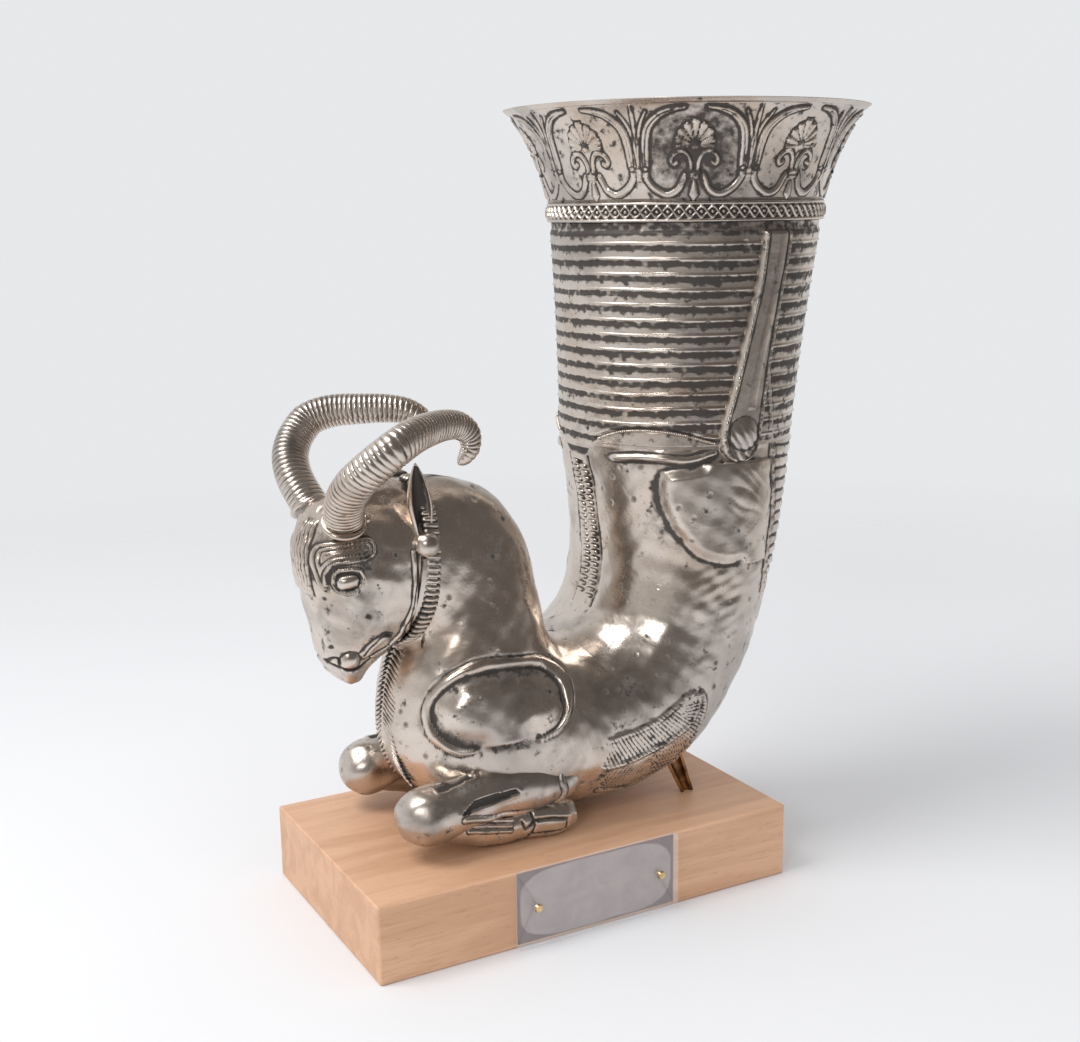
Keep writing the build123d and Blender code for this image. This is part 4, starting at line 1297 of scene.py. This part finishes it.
# Ribbed ruff behind the jaw: rounded ribs set across a curved band
ruffLine = [
    (-49.5, 4, 171.6), (-49.2, 12, 168.5), (-48.6, 19.5, 160), (-48.4, 22.6, 150), (-48.6, 23.4, 142.7),
    (-49.3, 23.4, 132.9), (-50.2, 22.2, 125.1), (-52.0, 19.6, 118.4), (-54.3, 15.0, 112.2), (-56.2, 8, 108.8),
    (-56.8, 0.5, 107.9),
]
rib = barUnit("ribUnit", ends=4, rings=3, patina=0.9)
curve = evenRows(ruffLine, 39)
places, alongs, acrosses = [], [], []
for x, y, z in curve:
    for side in (-1, 1):
        way = np.array([0.15, side * y, z - 141.0])  # away from the middle of the neck
        places.append((x + 0.3, side * y * 0.985, z if z < 170 else 170.6))
        alongs.append(way / np.linalg.norm(way))
        acrosses.append((1, 0, -0.18))
seat(placeUnits("ruffRibs", rib, places, alongs, acrosses, (6.6, 2.35, 1.35), silver["head"]), None)
discard(rib)

# Horns: a keeled core along the curve, with ribs set across it. Each row: shares of
# the reach back, the spread and the rise, and of the root's radius
hornShares = [
    (0.000, 0.000, 0.000, 1.00), (-0.050, 0.330, 0.260, 0.98), (-0.035, 0.610, 0.460, 0.96),
    (0.025, 0.800, 0.605, 0.95), (0.115, 0.940, 0.740, 0.94), (0.230, 1.000, 0.860, 0.92),
    (0.400, 0.865, 0.940, 0.87), (0.590, 0.615, 0.965, 0.82), (0.780, 0.405, 0.970, 0.76),
    (0.935, 0.250, 0.935, 0.70), (1.045, 0.175, 0.830, 0.63), (1.070, 0.135, 0.680, 0.55),
    (1.030, 0.130, 0.585, 0.46), (0.985, 0.130, 0.530, 0.30), (0.960, 0.130, 0.505, 0.10),
]
hornForm = {
    "seat": (-79.96, 16.5, 159.45), "reach": 46.0, "spread": 26.0, "rise": 34.0, "root": 6.8, "pitch": 1.9,
    "rows": 620, "columns": 40,
    "tieRadius": 7.3, "tieThickness": 1.1, "tieAxis": (-0.13, 0.6, 0.78), "tieSteps": (48, 14),
}
sides = {"left": -1, "right": 1}


def makeHorn(name, side):
    seatX, seatY, seatZ = hornForm["seat"]
    path = []
    for back, out, up, size in hornShares:
        x, y, z = back * hornForm["reach"], out * hornForm["spread"], up * hornForm["rise"]
        path.append((seatX + x, side * (seatY + y), seatZ + z, hornForm["root"] * size))
    fine = evenRows(path, hornForm["rows"])
    travel = np.append(0, np.cumsum(np.linalg.norm(np.diff(fine[:, :3], axis=0), axis=1)))
    tangent = np.gradient(fine[:, :3], axis=0)
    tangent /= np.linalg.norm(tangent, axis=1, keepdims=True)
    frameY = np.zeros_like(tangent)
    last = np.array([-1.0, 0, 0.3])
    for k, way in enumerate(tangent):
        last = last - way * (last @ way)
        last /= np.linalg.norm(last)
        frameY[k] = last
    frameX = np.cross(tangent, frameY)
    turn = np.linspace(0, 2 * math.pi, hornForm["columns"], endpoint=False)
    phase = np.mod(travel / hornForm["pitch"], 1)[:, None]
    rib = np.sin(math.pi * phase) ** 0.7
    ends = ease((travel[-1] - travel) / 9)[:, None] * ease(travel / 2)[:, None]
    keel = soft((np.mod(turn + math.pi * 0.35, 2 * math.pi) - math.pi)[None, :], 0.22)
    core = fine[:, 3:4] * (0.95 + 0.12 * keel - 0.10 * np.cos(2 * turn)[None, :])
    radius = core + ends * (0.42 * rib * (1 - 0.8 * keel) - 0.2)
    c, s = np.cos(turn)[None, :, None], np.sin(turn)[None, :, None]
    points = fine[:, None, :3] + radius[..., None] * (c * frameX[:, None] + s * frameY[:, None])
    shade = np.clip(ends * ((1 - rib) ** 1.3 * 0.8) * (1 - 0.6 * keel) + 0.1, 0, 1)
    return tubeObject(name, points, shade)


def hornTie(name, side):  # plain ring where the horn stands on the brow
    seatX, seatY, seatZ = hornForm["seat"]
    turns = [np.linspace(0, 2 * math.pi, steps, endpoint=False) for steps in hornForm["tieSteps"]]
    t, a = np.meshgrid(*turns, indexing="ij")
    big, small = hornForm["tieRadius"], hornForm["tieThickness"]
    axis = np.array(hornForm["tieAxis"]) * (1, side, 1)
    axis /= np.linalg.norm(axis)
    first = np.cross(axis, (1.0, 0, 0))
    first /= np.linalg.norm(first)
    second = np.cross(axis, first)
    radial = np.cos(t)[..., None] * first + np.sin(t)[..., None] * second
    points = np.array([seatX, side * seatY, seatZ]) + radial * (big + small * np.cos(a))[..., None]
    points += axis * (small * np.sin(a) - 0.3)[..., None]
    faces = gridFaces(*t.shape, rowLoop=True)
    return outward(meshObject(name, points.reshape(-1, 3), faces, np.full(t.size, 0.15)))


for name, side in sides.items():
    seat(makeHorn(name + "Horn", side), silver["horn"], "horn_" + name)
    seat(hornTie(name + "HornRing", side), silver["head"])


# Ears: pointed leaves, hollowed on the outside, on round lobes
ear = {
    "root": (-50.35, 20.5, 148.64), "height": 30.0, "lean": 3.0, "halfWidth": 4.9, "halfThickness": 2.7,
    "lobe": (-50.35, 22.5, 148.64), "lobeRadius": 4.8, "rows": 90, "columns": 64,
    "widths": [(0.0, 0.42), (0.20, 0.74), (0.48, 1.0), (0.74, 0.76), (0.92, 0.34), (1.0, 0.06)],
}


def makeEar(name, side):
    rows = evenRows(ear["widths"], ear["rows"])
    turn = np.linspace(0, 2 * math.pi, ear["columns"], endpoint=False)
    up, wide = np.clip(rows[:, :1], 0, 1), rows[:, 1:]
    across, out = np.cos(turn)[None, :], np.sin(turn)[None, :]
    dish = np.where(out > 0, np.clip(1 - (across / 0.74) ** 2, 0, None), 0) ** 0.7
    dish = dish * ease(up / 0.12) * ease((1 - up) / 0.06)
    x = ear["root"][0] - ear["lean"] * up + ear["halfWidth"] * wide * across
    y = ear["root"][1] + ear["halfThickness"] * wide * (out - 1.7 * dish)
    z = ear["root"][2] + ear["height"] * up + 0 * x
    return tubeObject(name, np.stack([x, side * y, z], -1), np.clip(1.25 * dish, 0, 1))


def makeLobe(name, side):
    turn = np.linspace(0, 2 * math.pi, 40, endpoint=False)
    tilt = np.linspace(-math.pi / 2, math.pi / 2, 26)[1:-1, None]
    x = ear["lobe"][0] + ear["lobeRadius"] * np.cos(tilt) * np.cos(turn)
    y = side * ear["lobe"][1] + ear["lobeRadius"] * np.cos(tilt) * np.sin(turn)
    z = ear["lobe"][2] + ear["lobeRadius"] * np.sin(tilt) + 0 * x
    return tubeObject(name, np.stack([x, y, z], -1), np.full(x.shape, 0.1))


for name, side in sides.items():
    seat(makeEar(name + "Ear", side), silver["head"], "ear_" + name)
    seat(makeLobe(name + "Lobe", side), silver["head"])


# Folded forelegs: knee and forearm above, cannon and hoof below, as two tubes.
# Each row of shares: along the length, from the knee's height to the end's, radius
leg = {
    "kneeX": -57.5, "kneeOut": 29.0, "kneeLift": 46.8, "splay": 4.0, "ground": 30.02,
    "columns": 110, "rows": 190,
}
forearm = {
    "length": 64.0, "radius": 10.0, "lift": 52.0,
    "shares": [
        (-0.168, 0.0, 0.18), (-0.150, 0.0, 0.56), (-0.105, 0.0, 0.88), (-0.030, 0.0, 1.11),
        (0.080, 0.1, 1.13), (0.300, 0.6, 1.04), (0.600, 1.0, 1.00), (0.850, 1.0, 0.86),
        (0.960, 1.0, 0.58), (1.000, 1.0, 0.20),
    ],
}
cannon = {
    "length": 60.0, "radius": 7.8, "lift": 37.3,
    "shares": [
        (-0.030, 0.05, 0.90), (0.150, 0.45, 1.02), (0.380, 0.85, 0.98), (0.680, 1.0, 0.88),
        (0.900, 1.0, 0.92), (1.000, 1.0, 0.66),
    ],
}
legLines = {
    "leaves": [
        [(-55, 58.5), (-48.9, 60.7), (-40.1, 61.1), (-38.8, 59.7), (-45.6, 58.7), (-53.7, 57.2), (-55, 58.5)],
        [(-48.1, 49.5), (-42.5, 53.5), (-32.8, 54.7), (-25.1, 55), (-23.7, 53.4), (-28.7, 52.1),
         (-38.5, 50.9), (-45.4, 49.2), (-48.1, 49.5)],
    ],
    "elbow": [
        (-46.3, 47), (-32.5, 45), (-18.4, 43.2), (-9, 42.4), (-5.3, 45.7), (-4.1, 49.5), (-5.2, 53.8),
        (-4.8, 58.4),
    ],
    "cannon": [
        [(-46.3, 45.4), (-25.5, 41.6)], [(-43.7, 43.1), (-26.3, 39.7)], [(-43.9, 41.1), (-26.5, 37.7)],
    ],
    "hoof": [
        [(-21.5, 40.1), (-20.1, 36.4), (-15.7, 39.5), (-8.5, 39.2), (-2.6, 37.9), (-2.7, 33.1),
         (-8.6, 33.1), (-18, 33.2)],
        [(-17, 43), (-16, 37), (-18, 31)],
    ],
}
legForms = {
    "tendon": (0.75, 0.7, 0.9, 1.0, 0.35),
    "hoof": (0.6, 0.8, 0.9, 0.0, 0.7),
    "elbow": (1.0, 0.9, 0.85, 1.6, 0.5),
}


def cannonRelief(x, z, outside, relief, dark):  # tendons of the cannon, grooves of the hoof
    for part, draw, lines in (("tendon", drawRidge, "cannon"), ("hoof", drawGroove, "hoof")):
        for line in legLines[lines]:
            away = lineField(x, z, line)[0]
            relief, dark = draw(relief, dark, away, outside, legForms[part])
    return relief, dark


def forearmRelief(x, z, outside, relief, dark):  # two sunk leaves and the curl of the elbow
    for leaf in legLines["leaves"]:
        away, within = lineField(x, z, smoothLine(leaf))[0], inside(x, z, leaf)
        relief += outside * np.where(within, -1.1 * ease(away / 0.6), 0.5 * soft(away, 0.8))
        dark = np.maximum(dark, outside * np.where(within, 0.9, 0))
    away = lineField(x, z, smoothLine(legLines["elbow"]))[0]
    return drawRidge(relief, dark, away, outside, legForms["elbow"])


def makeLimb(name, form, side, carve):
    rows = []
    for along, change, size in form["shares"]:
        x, y = leg["kneeX"] + form["length"] * along, side * (leg["kneeOut"] + leg["splay"] * along)
        z = leg["kneeLift"] + (form["lift"] - leg["kneeLift"]) * change
        rows.append((x, y, z, form["radius"] * size))
    fine = evenRows(rows, leg["rows"])
    turn = np.linspace(0, 2 * math.pi, leg["columns"], endpoint=False)
    x, radius = np.broadcast_to(fine[:, :1], (leg["rows"], leg["columns"])), fine[:, 3:4]
    y = fine[:, 1:2] + radius * np.cos(turn)[None, :]
    z = fine[:, 2:3] + radius * np.sin(turn)[None, :]
    points = np.stack([x, y, z], -1)
    outside = ease((side * y - np.abs(fine[:, 1:2]) + 1) / 3)
    relief = wobble(points, 0.3, 12, 31)
    dark = 0.12 + 0.15 * wobble(points, 1, 12, 33)
    relief, dark = carve(x, z, outside, relief, dark)
    points = points + gridNormals(points) * faded(relief, 8, 8)[..., None]
    points[..., 2] = np.maximum(points[..., 2], leg["ground"])
    return tubeObject(name, points, np.clip(dark, 0, 1))


for name, side in sides.items():
    upper = makeLimb(name + "Forearm", forearm, side, forearmRelief)
    seat(makeLimb(name + "Cannon", cannon, side, cannonRelief), silver["limb"])
    seat(upper, silver["limb"], "foreleg_" + name)

# Raised hind leg on each side of the cup, its outline drawn in side view
strap = {
    "outline": [
        (74.8, 259.0), (88.3, 259.0), (86.1, 233.0), (83.0, 210.0), (80.2, 184.0), (78.1, 175.0),
        (70.0, 171.0), (63.0, 175.0), (61.8, 184.0), (65.6, 200.0), (70.3, 222.1), (73.6, 240.2),
    ],
    "foot": 171.2, "top": 259.0, "step": 0.55, "columns": 44, "sink": 2.0,
    "rise": 2.4, "detail": 2.2, "hock": (71.0, 182.5), "hockWidth": 6.5, "shankFoot": 192.0, "tuftTop": 186.0,
}


def strapSpan(levels):  # front and back edge of the strap at each level
    outline = smoothLine(strap["outline"] + strap["outline"][:1], 12)
    spans = []
    for z in levels:
        crossings = []
        for a, b in zip(outline, outline[1:]):
            if (a[1] > z) != (b[1] > z):
                crossings.append(a[0] + (z - a[1]) / (b[1] - a[1]) * (b[0] - a[0]))
        spans.append((min(crossings), max(crossings)))
    return np.array(spans)


def strapRelief(x, z, share, width, edge):
    shank = z > strap["shankFoot"]
    beads = 0.7 * rounded(edge - 1.1, 0.9)
    beads *= 0.45 + 0.55 * np.abs(np.sin(math.pi * z / 2.6 + np.sin(z * 0.9)))
    tendon = 0.3 * rounded((share - 0.62) * width + 0.6 * np.sin(z * 0.07), 1.8) * shank
    knob = np.hypot(x - strap["hock"][0], z - strap["hock"][1])
    hock = 1.3 * np.clip(1 - (knob / strap["hockWidth"]) ** 2, 0, None)
    wrinkle, low = np.abs(np.sin(x * 0.9 + 0.55 * z)), ease((strap["tuftTop"] - z) / 4)
    tufts = 0.55 * wrinkle * low * (edge > 2)
    dark = 0.9 * soft(edge - 2.5, 0.5) + (0.22 + 0.12 * np.sin(0.31 * z + 0.8 * x)) * shank
    dark += 0.55 * (1 - wrinkle) * low + 0.8 * soft(knob - strap["hockWidth"] - 0.1, 0.6)
    return np.minimum(beads + tendon + hock + tufts, strap["detail"]), np.clip(dark, 0, 1)


def makeStrap(name, side):
    levels = np.arange(strap["foot"], strap["top"], strap["step"])
    left, right = strapSpan(levels).T[..., None]
    width, share = right - left, np.linspace(0, 1, strap["columns"])[None, :]
    x = left + width * share
    z = np.broadcast_to(levels[:, None], x.shape)
    axis, radius = cupSize(z)
    under = np.sqrt(np.clip(radius ** 2 - (x - axis) ** 2, 0, None))
    edge = np.minimum(share, 1 - share) * width
    ends = np.minimum(z - levels[0], levels[-1] - z)
    rise = strap["rise"] * ease((np.minimum(edge, ends) + 0.15) / 1.3) ** 0.5
    detail, dark = strapRelief(x, z, share, width, edge)
    out = under + rise + detail * (rise > 0.5 * strap["rise"])
    front = np.stack([x, side * out, z], -1)
    back = np.stack([x, side * (under - strap["sink"]), z], -1)
    shade = np.concatenate([dark, np.full(dark.shape, 0.5)], 1)
    return tubeObject(name, np.concatenate([front, back[:, ::-1]], 1), shade)


for name, side in sides.items():
    seat(makeStrap(name + "HindLeg", side), silver["limb"], "hind_leg_" + name)

# Beads along the edge of the flank panel
bead = barUnit("beadUnit", ends=3, rings=2, patina=0.6)
places, alongs = [], []
for x, y, z in evenRows(panelEdge[1:-1], 58):
    axis, radius = cupSize(z)
    turn = math.atan2(y, x - axis)
    for side in (1, -1):
        way = np.array([math.cos(turn), side * math.sin(turn), 0.0])
        places.append((axis + (radius + 0.35) * way[0], (radius + 0.35) * way[1], z - 0.6))
        alongs.append(way)
seat(placeUnits("panelBeads", bead, places, alongs, (0, 0, 1), (1.15, 1.15, 1.05), silver["cup"]), None)
discard(bead)

dress("plinth", beechMaterial("beech"))
dress("plaque_card", cardMaterial("card"))
dress("plaque_cover", acrylicMaterial("acrylic"))
dress("plaque_pins", metalMaterial("brass"))
dress("rear_prop", metalMaterial("bronze"))
for name in ("cup_floor", "jaw_ruff", "horn_rivets"):
    dress(name, silver["head"])
print("plinth, plaque and prop dressed")
